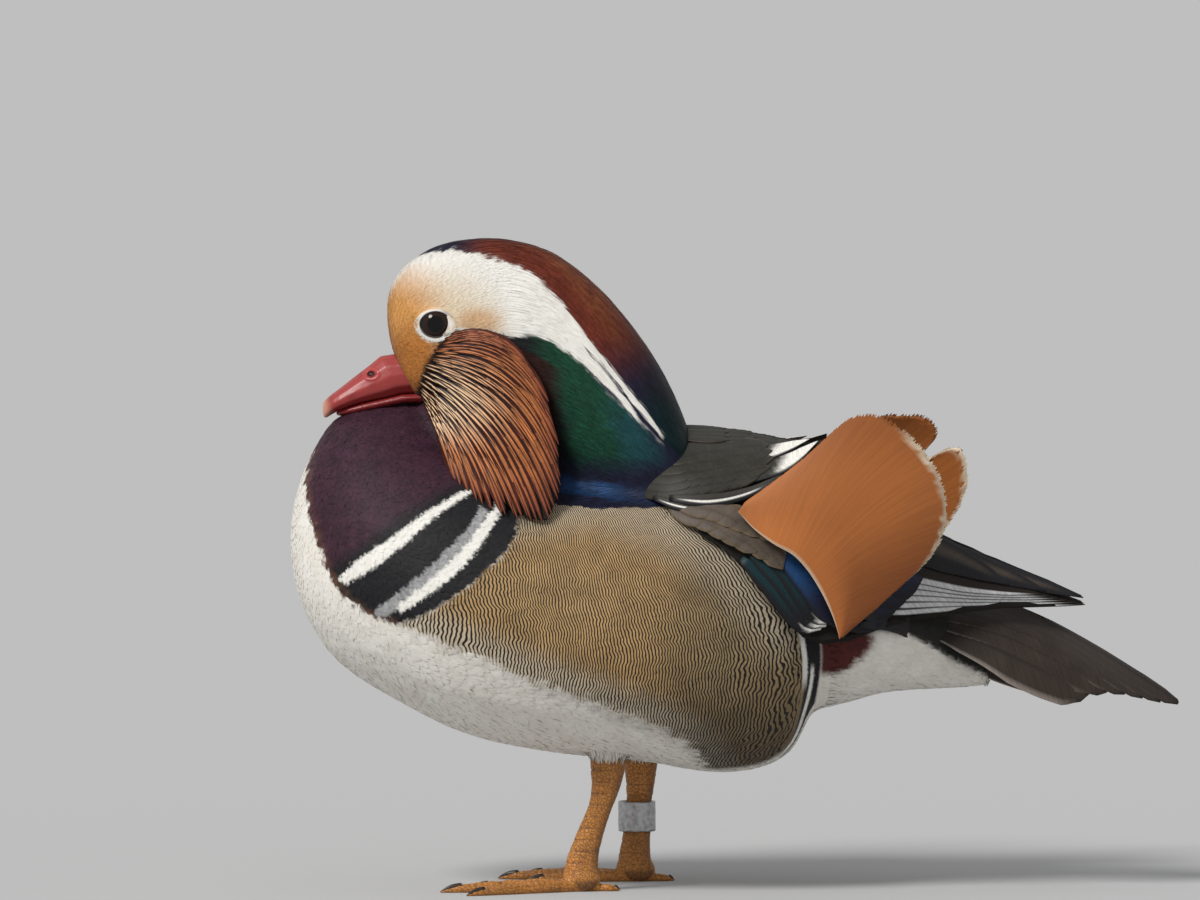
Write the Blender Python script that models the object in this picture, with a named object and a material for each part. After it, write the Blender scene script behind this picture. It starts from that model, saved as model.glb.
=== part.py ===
"""A mandarin drake, life size, standing with its neck drawn in, as a museum model.

The bird faces -Y, +Z is up and X = 0 is its plane of symmetry. The origin is on the floor, under
the middle of the bird's outline. Lengths in the tables are millimetres.

Each form is a loft. A round form (trunk, rump, head, neck, bill, tarsus) runs through a few Oval
sections, each given by the two points where it meets the plane of symmetry and its half width.
A thin form (wing, scapulars, sail, ruff, tail) runs through a few Vane sections, each given by its
two edges and its thickness. Sections in between follow a smooth curve through those in the table.
Where two forms would meet, the outer one is carved back to leave a touching gap.
"""

import math
from dataclasses import dataclass, replace

import bmesh
import bpy
import numpy as np
from mathutils import Matrix, Vector

MM = 0.001
GAP = 0.4  # left between pieces that touch, in mm
LEFT, RIGHT = 1, -1
SIDES = {"left": LEFT, "right": RIGHT}

EYE_Y, EYE_Z = -109.0, 206.0
EYE_X = 12.9
EYE_RADIUS = 8.0

SAIL_LAG = 11.0  # how far the right sail stands behind the left one
SAIL_LEAN = math.radians(5)  # and how much further it leans back

ANKLE = {"left": (23.0, -55.5), "right": (-24.0, -35.5)}  # x, y of each foot's joint
FOOT_TURN = {"left": math.radians(6), "right": math.radians(-7)}
RING_INNER, RING_WALL, RING_HEIGHT = 6.1, 0.8, 11.0
RING_FOOT = 18.5  # height of the ring's lower rim


@dataclass
class Oval:
    """A closed section that is the same on both sides of the plane of symmetry."""

    top: tuple[float, float]  # y, z
    bottom: tuple[float, float]
    half_width: float


@dataclass
class Vane:
    """A thin section between two edges, bowed outwards in between."""

    upper: tuple[float, float, float]  # x, y, z
    lower: tuple[float, float, float]
    thickness: float
    bow: float = 0.0


def tip(y, z, size=0.6):
    """A section small enough to close a round end."""
    return Oval((y, z + size), (y, z - size), size)


TRUNK = (
    tip(-163.0, 128.5),
    Oval((-159.0, 149.5), (-159.0, 103.0), 22.0),
    Oval((-151.0, 164.5), (-145.5, 82.0), 37.0),
    Oval((-136.0, 172.5), (-123.5, 67.5), 49.0),
    Oval((-111.0, 168.0), (-96.5, 54.5), 58.0),
    Oval((-78.0, 157.0), (-63.5, 48.0), 61.5),
    Oval((-41.5, 154.0), (-34.5, 45.5), 63.0),
    Oval((-12.5, 156.0), (-8.0, 41.0), 58.0),
    Oval((11.5, 148.5), (12.5, 43.5), 49.0),
    Oval((26.0, 127.0), (25.0, 54.5), 36.0),
    tip(32.5, 87.0),
)
RUMP = (
    Oval((5.0, 150.0), (12.0, 69.0), 38.0),
    Oval((31.5, 141.0), (31.5, 64.0), 40.0),
    Oval((53.5, 123.5), (53.5, 70.0), 32.0),
    Oval((73.5, 109.0), (75.0, 71.5), 21.0),
    Oval((88.0, 96.5), (95.0, 72.5), 10.0),
)
HEAD = (
    Oval((-126.0, 197.5), (-116.5, 177.0), 10.0),
    Oval((-127.5, 210.5), (-113.0, 175.5), 13.5),
    Oval((-125.5, 221.0), (-110.0, 174.5), 16.5),
    Oval((-118.5, 229.5), (-105.5, 172.0), 18.5),
    Oval((-105.5, 236.0), (-98.0, 166.0), 20.0),
    Oval((-85.5, 238.5), (-89.0, 157.5), 22.0),
)
CREST = (
    HEAD[-1],
    Oval((-67.0, 234.0), (-78.0, 145.0), 25.0),
    Oval((-49.0, 220.5), (-66.5, 134.0), 28.0),
    Oval((-34.5, 203.5), (-50.0, 128.0), 30.5),
    Oval((-23.5, 186.0), (-32.5, 128.0), 31.5),
    Oval((-15.5, 167.0), (-19.0, 130.0), 29.0),
    Oval((-11.5, 152.0), (-11.0, 135.0), 20.0),
)
NECK = (
    Oval((-49.0, 141.5), (-121.0, 150.0), 25.0),
    Oval((-52.5, 163.0), (-118.5, 166.0), 23.5),
    Oval((-63.5, 181.5), (-113.0, 179.5), 20.0),
    Oval((-71.0, 196.0), (-107.5, 188.5), 17.0),
)
BILL_UPPER = (
    Oval((-126.9, 195.5), (-118.9, 180.0), 8.6),
    Oval((-132.0, 191.0), (-125.5, 178.5), 8.0),
    Oval((-138.5, 186.0), (-133.5, 177.2), 7.2),
    Oval((-143.5, 182.0), (-140.5, 175.3), 6.8),
    Oval((-147.5, 179.0), (-145.5, 173.5), 5.8),
    Oval((-149.7, 176.5), (-148.3, 171.8), 3.4),
    tip(-149.6, 172.2, 0.5),
)
BILL_LOWER = (
    Oval((-118.3, 181.0), (-117.0, 177.3), 7.8),
    Oval((-127.5, 178.6), (-126.5, 175.6), 6.8),
    Oval((-136.5, 176.6), (-136.0, 173.4), 6.0),
    Oval((-142.5, 174.6), (-142.2, 172.4), 4.5),
    tip(-145.0, 172.8, 0.4),
)
RUFF = (
    Vane((20.0, -99.5, 201.0), (18.5, -111.5, 188.0), 1.5),
    Vane((26.0, -78.0, 196.0), (22.0, -107.5, 175.0), 3.0, 1.5),
    Vane((30.5, -68.0, 179.5), (26.5, -103.5, 163.0), 3.5, 2.5),
    Vane((34.5, -63.5, 161.5), (31.5, -102.0, 151.5), 3.5, 3.0),
    Vane((40.0, -63.5, 145.0), (38.0, -89.0, 141.5), 2.6, 2.0),
    Vane((43.5, -68.0, 134.5), (43.0, -77.0, 136.0), 1.0),
)
SCAPULARS = (
    Vane((4.0, -29.0, 160.5), (35.5, -29.0, 142.5), 4.0, 5.0),
    Vane((4.0, -12.5, 167.0), (38.0, -12.5, 139.5), 5.0, 6.0),
    Vane((7.0, 6.0, 165.0), (39.0, 6.0, 142.5), 5.0, 5.0),
    Vane((14.0, 22.5, 162.5), (36.5, 22.5, 152.5), 3.5, 2.0),
    Vane((25.0, 35.0, 165.0), (31.0, 35.0, 163.0), 1.2),
)
WING = (
    Vane((36.0, -14.0, 142.0), (44.5, -14.0, 130.5), 3.0),
    Vane((34.5, 2.0, 143.5), (47.0, 2.0, 119.5), 5.0, 2.0),
    Vane((34.0, 20.5, 141.5), (45.0, 20.5, 95.5), 6.0, 3.0),
    Vane((32.0, 35.0, 136.0), (42.0, 35.0, 90.0), 5.0, 3.0),
    Vane((26.0, 53.5, 128.5), (35.0, 53.5, 95.5), 4.0, 2.0),
    Vane((22.0, 62.5, 125.0), (31.0, 62.5, 97.5), 3.0, 1.0),
)
PRIMARIES = (
    Vane((21.7, 63.2, 124.8), (30.7, 63.2, 97.8), 2.8, 1.0),
    Vane((16.0, 79.0, 123.0), (24.0, 79.0, 100.0), 2.4, 0.8),
    Vane((10.5, 97.0, 115.5), (16.5, 97.0, 102.0), 1.9),
    Vane((6.0, 115.5, 109.0), (9.0, 115.5, 102.0), 1.4),
    Vane((3.0, 127.5, 104.5), (4.2, 127.5, 102.5), 0.9),
)
SAIL = (
    Vane((45.0, 3.5, 142.5), (47.5, 2.0, 139.0), 0.8),
    Vane((42.0, 22.5, 157.0), (49.5, 8.5, 134.5), 1.2, 1.5),
    Vane((38.5, 42.5, 172.5), (50.5, 15.0, 129.5), 1.2, 3.0),
    Vane((36.5, 57.0, 171.0), (50.5, 21.5, 124.0), 1.2, 4.0),
    Vane((36.0, 69.5, 159.0), (50.5, 26.5, 118.5), 1.2, 4.0),
    Vane((36.5, 75.0, 141.5), (50.0, 30.5, 111.0), 1.2, 4.0),
    Vane((39.5, 71.0, 123.5), (49.5, 33.5, 103.5), 1.2, 3.0),
    Vane((44.5, 53.5, 105.5), (48.5, 36.0, 97.5), 1.0, 1.0),
    Vane((47.3, 39.5, 94.0), (47.6, 38.2, 93.4), 0.7),
)
TAIL = (  # each half falls away from the ridge like a roof
    Vane((0.0, 74.0, 108.5), (19.0, 74.0, 88.0), 2.6, 5.0),
    Vane((0.0, 90.0, 105.0), (25.0, 88.0, 76.5), 2.4, 7.0),
    Vane((0.0, 111.5, 99.0), (27.0, 111.5, 67.0), 2.2, 7.0),
    Vane((0.0, 133.5, 84.5), (23.0, 133.5, 63.0), 2.0, 5.0),
    Vane((0.0, 152.0, 73.0), (12.0, 150.0, 63.5), 1.6, 2.0),
    Vane((0.0, 163.0, 67.5), (2.0, 163.0, 66.0), 1.2),
)
# Tarsus sections: height, y of the front and of the back, half width.
TARSUS = {
    "left": (
        (56.0, -52.5, -40.0, 4.6),
        (46.0, -52.5, -39.5, 4.6),
        (37.5, -52.0, -41.5, 3.9),
        (30.0, -53.5, -44.5, 3.4),
        (21.0, -57.5, -47.5, 3.3),
        (12.0, -61.0, -49.5, 3.8),
        (5.0, -62.5, -49.0, 4.4),
    ),
    "right": (
        (56.0, -41.5, -28.5, 4.6),
        (46.0, -40.5, -27.5, 4.6),
        (37.5, -39.5, -28.5, 3.9),
        (30.0, -39.3, -29.8, 3.4),
        (21.0, -40.0, -30.0, 3.3),
        (12.0, -41.5, -30.5, 3.8),
        (5.0, -43.0, -29.5, 4.4),
    ),
}


@dataclass
class Toe:
    """One toe, from the foot's joint: how long, how far it splays, how thick at its root."""

    length: float
    splay: float  # degrees, outwards
    thick: float


TOES = (Toe(41.0, -17.0, 4.6), Toe(52.0, 3.0, 5.0), Toe(48.0, 24.0, 4.6))
HIND_TOE = Toe(14.0, 172.0, 3.4)
CLAW_SHARE = 0.14  # of a toe's length
WEB_THICK = 1.2
WEB_REACH = 0.74  # how far along the toes the web goes


def finish(name, colour, roughness, metallic=0.0):
    """A plain material of one colour."""
    made = bpy.data.materials.new(name)
    made.use_nodes = True
    shader = made.node_tree.nodes["Principled BSDF"]
    shader.inputs["Base Color"].default_value = (*colour, 1.0)
    shader.inputs["Roughness"].default_value = roughness
    shader.inputs["Metallic"].default_value = metallic
    return made


def through(rows, place, round_start=False, round_end=False):
    """The smooth curve through the rows, at a place from 0 to their count less 1.

    A round end is mirrored about the plane of symmetry, so that the outline turns over there.
    """
    rows = np.asarray(rows, float)
    before, after = 2 * rows[0] - rows[1], 2 * rows[-1] - rows[-2]
    if round_start:
        before = turned(rows[1])
    if round_end:
        after = turned(rows[-2])
    held = np.vstack([before, rows, after])
    at = min(int(place), len(rows) - 2)
    t = place - at
    p0, p1, p2, p3 = held[at : at + 4]
    return 0.5 * (
        2 * p1
        + (p2 - p0) * t
        + (2 * p0 - 5 * p1 + 4 * p2 - p3) * t**2
        + (3 * p1 - p0 - 3 * p2 + p3) * t**3
    )


def turned(row):
    """An oval section's numbers with its top and bottom exchanged and its width turned over."""
    return np.array([row[2], row[3], row[0], row[1], -row[4]])


def spread(count, rows):
    """Places along a table of rows, evenly by row."""
    return np.linspace(0.0, rows - 1.0, count)


def loft(name, rings, material):
    """One closed solid through rings of points in mm, with a flat cap at each end."""
    shape = bmesh.new()
    loops = []
    for ring in rings:
        points = [shape.verts.new(Vector(point) * MM) for point in ring]
        pairs = zip(points, points[1:] + points[:1])
        loops.append((points, [shape.edges.new(pair) for pair in pairs]))
    for (_, one), (_, other) in zip(loops, loops[1:]):
        bmesh.ops.bridge_loops(shape, edges=one + other)
    for points, _ in (loops[0], loops[-1]):
        shape.faces.new(points)
    bmesh.ops.recalc_face_normals(shape, faces=shape.faces)
    return solid(name, shape, material)


def solid(name, shape, material):
    """A scene object from a finished bmesh."""
    mesh = bpy.data.meshes.new(name)
    shape.to_mesh(mesh)
    shape.free()
    mesh.materials.append(material)
    mesh.shade_smooth()
    mesh.set_sharp_from_angle(angle=math.radians(50))
    made = bpy.data.objects.new(name, mesh)
    bpy.context.scene.collection.objects.link(made)
    return made


def oval_ring(row, points, square, egg):
    """Points round an oval section. A negative egg makes it wider below than above."""
    top_y, top_z, bottom_y, bottom_z, half_width = row
    middle = np.array([top_y + bottom_y, top_z + bottom_z]) / 2
    half = np.array([top_y - bottom_y, top_z - bottom_z]) / 2
    ring = []
    for turn in np.arange(points) * 2 * math.pi / points:
        across, up = math.cos(turn), math.sin(turn)
        across = math.copysign(abs(across) ** (2 / square), across)
        up = math.copysign(abs(up) ** (2 / square), up)
        y, z = middle + half * up
        ring.append((abs(half_width) * across * (1 + egg * up), y, z))
    return ring


def round_form(name, sections, material, count, points, square=2.0, egg=0.0, ends=(False, False)):
    """A solid through oval sections. ends says which of its two ends closes round."""
    rows = [(*s.top, *s.bottom, s.half_width) for s in sections]
    rings = [
        oval_ring(through(rows, place, *ends), points, square, egg)
        for place in spread(count, len(rows))
    ]
    return loft(name, rings, material)


def vane_rows(sections, side):
    """The numbers of vane sections, on one side of the bird."""
    return [
        (side * s.upper[0], *s.upper[1:], side * s.lower[0], *s.lower[1:], s.thickness, side * s.bow)
        for s in sections
    ]


def vane_point(row, share):
    """A point on a vane's middle surface, from its upper edge (0) to its lower one (1)."""
    upper, lower = np.array(row[:3]), np.array(row[3:6])
    point = upper + (lower - upper) * share
    return point + np.array([row[7], 0, 0]) * math.sin(math.pi * share)


def vane_ring(rows, place, points, side):
    """Points round a vane section: down its outer face and up its inner one."""
    step = 0.05
    last = len(rows) - 1
    row = through(rows, place)
    ahead, behind = through(rows, min(place + step, last)), through(rows, max(place - step, 0))
    outer, inner = [], []
    for share in np.linspace(0.0, 1.0, points):
        point = vane_point(row, share)
        down = vane_point(row, min(share + step, 1)) - vane_point(row, max(share - step, 0))
        along = vane_point(ahead, share) - vane_point(behind, share)
        normal = np.cross(down, along) * side
        normal /= np.linalg.norm(normal)
        edge = min(row[6], 0.7)
        half = (edge + (row[6] - edge) * math.sin(math.pi * share) ** 0.8) / 2
        outer.append(point - normal * half)
        inner.append(point + normal * half)
    return outer + inner[::-1]


def thin_form(name, sections, material, side, count, points=8):
    """A solid through vane sections, on one side of the bird."""
    rows = vane_rows(sections, side)
    rings = [vane_ring(rows, place, points, side) for place in spread(count, len(rows))]
    return loft(name, rings, material)


def carve(piece, *others, gap=GAP):
    """Cuts the piece back from the others, with a touching gap all round them."""
    for other in others:
        cutter = bpy.data.objects.new(f"room_for_{other.name}", other.data.copy())
        cutter.hide_render = True
        cutter.display_type = "WIRE"
        bpy.context.scene.collection.objects.link(cutter)
        swell = cutter.modifiers.new("swell", "DISPLACE")
        swell.strength, swell.mid_level = gap * MM, 0.0
        join(piece, cutter, "DIFFERENCE")


def join(piece, other, operation):
    """Adds a Boolean of the other object to the piece."""
    step = piece.modifiers.new(f"{operation.lower()}_{other.name}", "BOOLEAN")
    step.operation, step.solver, step.object = operation, "EXACT", other
    other.hide_render = True
    other.display_type = "WIRE"


def trunk(material):
    """Breast, belly, flanks and back: one egg, wider below than above."""
    return round_form(
        "trunk", TRUNK, material, 25, 26, square=2.1, egg=-0.22, ends=(True, True)
    )


def rump(material, body):
    """The rear of the body under the wings, down to the under-tail coverts."""
    made = round_form("rump", RUMP, material, 9, 20, square=2.2)
    carve(made, body)
    return made


def head(material, body):
    """Face and crown, from the root of the bill to behind the cheeks."""
    made = round_form("head", HEAD, material, 12, 22, square=2.25, egg=-0.1)
    carve(made, body)
    return made


def neck(material, body, face):
    """The drawn-in neck, which shows as the throat between chin and breast."""
    made = round_form("neck", NECK, material, 6, 18)
    carve(made, body, face)
    return made


def crest(material, body, throat):
    """The long feathers of the nape, from the crown down over the neck to the back."""
    start = 0.02  # leaves the gap to the head's own cut
    rows = [(*s.top, *s.bottom, s.half_width) for s in CREST]
    rings = [
        oval_ring(through(rows, place), 22, 2.3, -0.1)
        for place in np.linspace(start, len(rows) - 1.0, 12)
    ]
    made = loft("crest", rings, material)
    carve(made, body, throat)
    return made


def eyes(material, face):
    """Two round eyes, set into sockets in the head."""
    made = []
    for word, side in SIDES.items():
        shape = bmesh.new()
        centre = Vector((side * EYE_X, EYE_Y, EYE_Z)) * MM
        bmesh.ops.create_icosphere(
            shape, subdivisions=2, radius=EYE_RADIUS * MM, matrix=Matrix.Translation(centre)
        )
        made.append(solid(f"eye_{word}", shape, material))
    carve(face, *made)
    return made


def bill(material, face):
    """The upper half with its nail, and the lower half tucked under it."""
    upper = round_form("bill_upper", BILL_UPPER, material, 12, 14, 2.3, -0.15, (False, True))
    lower = round_form("bill_lower", BILL_LOWER, material, 7, 12, 2.3, 0.0, (False, True))
    carve(upper, face)
    carve(lower, face, upper)


def moved_back(sections, lag, lean):
    """Vane sections set further back and leaning back about the first one's lower edge."""
    foot = sections[0].lower
    turn = Matrix.Rotation(-lean, 3, "X")

    def shifted(point):
        """One edge point, leaned and set back."""
        y, z = (turn @ (Vector(point) - Vector(foot))).yz
        return (point[0], foot[1] + y + lag, foot[2] + z)

    return [replace(s, upper=shifted(s.upper), lower=shifted(s.lower)) for s in sections]


def wings(finishes, body, rear, nape):
    """Each folded wing: scapulars over its shoulder, coverts, flight feathers and the sail."""
    for word, side in SIDES.items():
        shoulder = thin_form(f"scapulars_{word}", SCAPULARS, finishes["back"], side, 9, 6)
        folded = thin_form(f"wing_{word}", WING, finishes["wing"], side, 10, 6)
        tips = thin_form(f"primaries_{word}", PRIMARIES, finishes["wing"], side, 7, 4)
        shape = SAIL if side == LEFT else moved_back(SAIL, SAIL_LAG, SAIL_LEAN)
        sail = thin_form(f"sail_{word}", shape, finishes["sail"], side, 15, 6)
        carve(folded, body, rear, shoulder)
        carve(shoulder, body, nape)
        carve(tips, rear)
        carve(sail, body, rear, folded, shoulder, tips)


def ruffs(material, others):
    """The fan of long hackles on each cheek."""
    for word, side in SIDES.items():
        made = thin_form(f"ruff_{word}", RUFF, material, side, 11, 6)
        carve(made, *others)


def tail(material, rear):
    """The tail feathers as one roof, ridge on top, with a rounded wedge end."""
    rows = vane_rows(TAIL, LEFT)
    rings = []
    for place in spread(11, len(rows)):
        half = vane_ring(rows, place, 5, LEFT)
        outer, inner = half[:5], half[5:][::-1]
        ridge_top, ridge_under = on_ridge(outer[0]), on_ridge(inner[0])
        left = [ridge_top, *outer[1:], *inner[:0:-1], ridge_under]
        right = [mirrored(point) for point in left[1:-1]]
        rings.append(left + right[::-1])
    made = loft("tail", rings, material)
    carve(made, rear)
    return made


def on_ridge(point):
    """The point brought onto the plane of symmetry."""
    return (0.0, point[1], point[2])


def mirrored(point):
    """The point on the bird's other side."""
    return (-point[0], point[1], point[2])


def tarsus(word, material, body):
    """The bare leg from the belly to the foot's joint."""
    x = ANKLE[word][0]
    rings = []
    rows = TARSUS[word]
    for place in spread(11, len(rows)):
        z, front, back, half_width = through(rows, place)
        middle, half = (front + back) / 2, (back - front) / 2
        turns = np.arange(12) * 2 * math.pi / 12
        rings.append(
            [(x + half_width * math.cos(t), middle + half * math.sin(t), z) for t in turns]
        )
    made = loft(f"leg_{word}", rings, material)
    carve(made, body)
    return made


def toe_rings(toe):
    """Sections along a toe that lies flat on the floor, from the foot's joint to its claw."""
    rings = []
    for share in np.linspace(0.0, 1.0, 9):
        horn = max(0.0, (share - 1 + CLAW_SHARE) / CLAW_SHARE)
        knuckle = 1 + 0.12 * math.cos(share * 6 * math.pi)
        width = 0.5 * toe.thick * (1 - 0.35 * share) * knuckle * (1 - 0.8 * horn) + 0.15
        height = toe.thick * (1 - 0.42 * share) * knuckle * (1 - 0.85 * horn) + 0.2
        lift = 0.6 * horn * (1 - horn)
        ring = []
        for turn in np.arange(8) * 2 * math.pi / 8:
            up = lift + max(0.0, height * (0.4 + 0.6 * math.sin(turn)))
            ring.append((width * math.cos(turn), -toe.length * share, up))
        rings.append(ring)
    return rings


def placed(points, word, splay=0.0):
    """Points of a foot drawn about its own joint, brought to their place under the bird."""
    side = SIDES[word]
    x, y = ANKLE[word]
    turn = Matrix.Rotation(FOOT_TURN[word] + side * math.radians(splay), 4, "Z")
    return [(Matrix.Translation((x, y, 0)) @ turn @ Vector(point))[:] for point in points]


def web(word, one, other, material):
    """The skin between two toes, with its front edge drawn in."""
    shape = bmesh.new()
    reach_one, reach_other = one.length * WEB_REACH, other.length * WEB_REACH
    outline = [(0.0, 6.0, 0.3)]
    for share in np.linspace(0.0, 1.0, 7):
        splay = math.radians(one.splay + (other.splay - one.splay) * share)
        drawn = 1 - 0.16 * math.sin(math.pi * share)
        reach = (reach_one + (reach_other - reach_one) * share) * drawn
        outline.append((SIDES[word] * math.sin(splay) * reach, -math.cos(splay) * reach, 0.3))
    points = [shape.verts.new(Vector(point) * MM) for point in placed(outline, word)]
    sheet = shape.faces.new(points)
    grown = bmesh.ops.extrude_face_region(shape, geom=[sheet])
    raised = [item for item in grown["geom"] if isinstance(item, bmesh.types.BMVert)]
    bmesh.ops.translate(shape, verts=raised, vec=Vector((0, 0, WEB_THICK * MM)))
    bmesh.ops.recalc_face_normals(shape, faces=shape.faces)
    return solid(f"web_{word}_{one.splay:.0f}", shape, material)


def foot(word, material, shank):
    """Three toes joined by web, and the small hind toe, in one piece, flat on the floor."""
    splays = [(toe, toe.splay) for toe in (*TOES, HIND_TOE)]
    middle, *rest = [
        loft(
            f"foot_{word}" if toe is TOES[1] else f"toe_{word}_{splay:.0f}",
            [placed(ring, word, splay) for ring in toe_rings(toe)],
            material,
        )
        for toe, splay in sorted(splays, key=lambda pair: pair[0] is not TOES[1])
    ]
    joint = bmesh.new()
    x, y = ANKLE[word]
    bmesh.ops.create_uvsphere(joint, u_segments=12, v_segments=6, radius=5.2 * MM)
    bmesh.ops.scale(joint, verts=joint.verts, vec=(1.0, 1.35, 1.0))
    bmesh.ops.translate(joint, verts=joint.verts, vec=Vector((x, y, 4.4)) * MM)
    cut = bmesh.ops.bisect_plane(
        joint,
        geom=joint.verts[:] + joint.edges[:] + joint.faces[:],
        plane_co=(0, 0, 0.05 * MM),
        plane_no=(0, 0, 1),
        clear_inner=True,
    )
    rim = [item for item in cut["geom_cut"] if isinstance(item, bmesh.types.BMEdge)]
    bmesh.ops.contextual_create(joint, geom=rim)
    rest.append(solid(f"joint_{word}", joint, material))
    rest += [web(word, one, other, material) for one, other in zip(TOES, TOES[1:])]
    for other in rest:
        join(middle, other, "UNION")
    carve(middle, shank)
    return middle


def leg_ring(material):
    """The metal ring round the right leg, above the foot."""
    x = ANKLE["right"][0]
    shape = bmesh.new()
    profile = (
        (RING_INNER, 0.0),
        (RING_INNER + RING_WALL, 0.0),
        (RING_INNER + RING_WALL, RING_HEIGHT),
        (RING_INNER, RING_HEIGHT),
    )
    corners = [shape.verts.new(Vector((radius, 0, height)) * MM) for radius, height in profile]
    edges = [shape.edges.new(pair) for pair in zip(corners, corners[1:] + corners[:1])]
    bmesh.ops.spin(
        shape,
        geom=corners + edges,
        cent=(0, 0, 0),
        axis=(0, 0, 1),
        angle=2 * math.pi,
        steps=20,
        use_merge=True,
    )
    bmesh.ops.recalc_face_normals(shape, faces=shape.faces)
    made = solid("leg_ring", shape, material)
    made.location = Vector((x, -35.3, RING_FOOT)) * MM
    return made


def build():
    """The whole bird."""
    for old in list(bpy.data.objects):
        bpy.data.objects.remove(old)
    plumage = finish("pale_plumage", (0.72, 0.70, 0.66), 0.8)
    finishes = {
        "back": finish("dark_plumage", (0.06, 0.05, 0.05), 0.6),
        "wing": finish("wing_plumage", (0.08, 0.07, 0.07), 0.55),
        "sail": finish("orange_plumage", (0.50, 0.20, 0.06), 0.6),
    }
    horn = finish("red_horn", (0.45, 0.08, 0.08), 0.35)
    skin = finish("orange_skin", (0.60, 0.28, 0.06), 0.5)

    body = trunk(plumage)
    rear = rump(plumage, body)
    face = head(plumage, body)
    throat = neck(finish("purple_plumage", (0.05, 0.02, 0.05), 0.6), body, face)
    nape = crest(finish("crest_plumage", (0.02, 0.08, 0.06), 0.45), body, throat)
    eyes(finish("dark_eye", (0.01, 0.01, 0.01), 0.05), face)
    bill(horn, face)
    wings(finishes, body, rear, nape)
    ruffs(finish("ruff_plumage", (0.35, 0.10, 0.04), 0.6), (body, face, throat, nape))
    tail(finishes["wing"], rear)
    for word in SIDES:
        shank = tarsus(word, skin, body)
        foot(word, skin, shank)
    leg_ring(finish("ring_metal", (0.6, 0.6, 0.6), 0.35, 1.0))


build()
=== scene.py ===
"""The looks of a mandarin drake: skin, plumage, bill, eyes, feet and leg ring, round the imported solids.

Lengths in the tables are millimetres, in the frame of the solids: the bird faces -Y, its left side
is +X and the floor is at Z = 0. A side point is (y, z). Meshes are made in metres.
"""

import itertools
import logging
import math
from dataclasses import dataclass
from enum import Enum
from typing import Callable, Iterable, Sequence

import bmesh
import bpy
import numpy as np
from mathutils import Matrix, Vector
from mathutils.bvhtree import BVHTree


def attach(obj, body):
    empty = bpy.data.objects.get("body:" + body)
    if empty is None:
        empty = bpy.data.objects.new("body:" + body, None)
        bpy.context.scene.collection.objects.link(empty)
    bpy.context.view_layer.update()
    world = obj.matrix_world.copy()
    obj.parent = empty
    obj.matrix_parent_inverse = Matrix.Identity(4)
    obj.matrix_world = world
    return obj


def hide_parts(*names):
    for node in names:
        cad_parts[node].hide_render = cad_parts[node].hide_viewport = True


LOG = logging.getLogger("drake")
MM = 0.001
PATCH = 0.003  # each small feather's part of the side of the skin's layout
SIDES = {"left": 1.0, "right": -1.0}
Array = np.ndarray
Points2 = Sequence[tuple[float, float]]
Socket = bpy.types.NodeSocket

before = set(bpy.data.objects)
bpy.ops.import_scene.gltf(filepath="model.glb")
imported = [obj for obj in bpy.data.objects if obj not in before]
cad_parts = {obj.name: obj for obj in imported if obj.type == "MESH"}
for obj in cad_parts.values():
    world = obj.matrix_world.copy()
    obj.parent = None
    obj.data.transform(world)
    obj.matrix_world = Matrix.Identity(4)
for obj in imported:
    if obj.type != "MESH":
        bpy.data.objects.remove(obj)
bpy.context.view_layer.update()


# --------------------------------------------------------------------------- numbers


def unit(rows: Array) -> Array:
    """Each row scaled to a length of one."""
    return rows / np.maximum(np.linalg.norm(rows, axis=-1, keepdims=True), 1e-12)


def ramp(value: Array, start: float, end: float) -> Array:
    """A smooth step from 0 at start to 1 at end, which may be the lower one."""
    share = np.clip((np.asarray(value) - start) / (end - start), 0.0, 1.0)
    return share * share * (3.0 - 2.0 * share)


def grain(points: Array, size: float, seed: int = 0) -> Array:
    """Smooth noise from -1 to 1, with features of one size.

    Args:
        points: Rows of x, y, z.
        size: The size of a feature, in the points' unit.
        seed: Which of many such noises.

    Returns:
        One value for each row.
    """
    at = points / size
    base = np.floor(at).astype(np.int64)
    part = at - base
    part = part * part * (3.0 - 2.0 * part)
    total = np.zeros(len(points))
    for corner in itertools.product((0, 1), repeat=3):
        cell = base + np.array(corner)
        mixed = cell[:, 0] * 374761393 + cell[:, 1] * 668265263 + cell[:, 2] * 1274126177
        mixed = (mixed + seed * 974634777) & 0xFFFFFFFF
        mixed = ((mixed ^ (mixed >> 13)) * 1103515245) & 0xFFFFFFFF
        mixed = mixed ^ (mixed >> 16)
        weight = np.prod(np.where(np.array(corner) == 1, part, 1.0 - part), axis=1)
        total += weight * (mixed & 0xFFFF) / 32767.5
    return total - 1.0


def spline(points: Array, steps: int = 4) -> Array:
    """A smooth open curve through rows of numbers, with steps between each two rows."""
    rows = np.asarray(points, float)
    held = np.vstack([2 * rows[0] - rows[1], rows, 2 * rows[-1] - rows[-2]])
    made = []
    for at in range(len(rows) - 1):
        p0, p1, p2, p3 = held[at : at + 4]
        for t in np.arange(steps) / steps:
            bent = (2 * p0 - 5 * p1 + 4 * p2 - p3) * t**2 + (3 * p1 - p0 - 3 * p2 + p3) * t**3
            made.append(0.5 * (2 * p1 + (p2 - p0) * t + bent))
    return np.array(made + [rows[-1]])


def travelled(curve: Array) -> Array:
    """How long a curve is up to each of its points."""
    return np.concatenate([[0.0], np.cumsum(np.linalg.norm(np.diff(curve, axis=0), axis=1))])


def read(rows: Points2, steps: Array, at: Array) -> Array:
    """Points of a line of side points, whose own points stand at steps."""
    return np.column_stack([np.interp(at, steps, np.array(rows)[:, k]) for k in (0, 1)])


def left_of(way: Array) -> Array:
    """The ways to the left of ways in the side view."""
    return np.stack([-way[..., 1], way[..., 0]], axis=-1)


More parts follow.
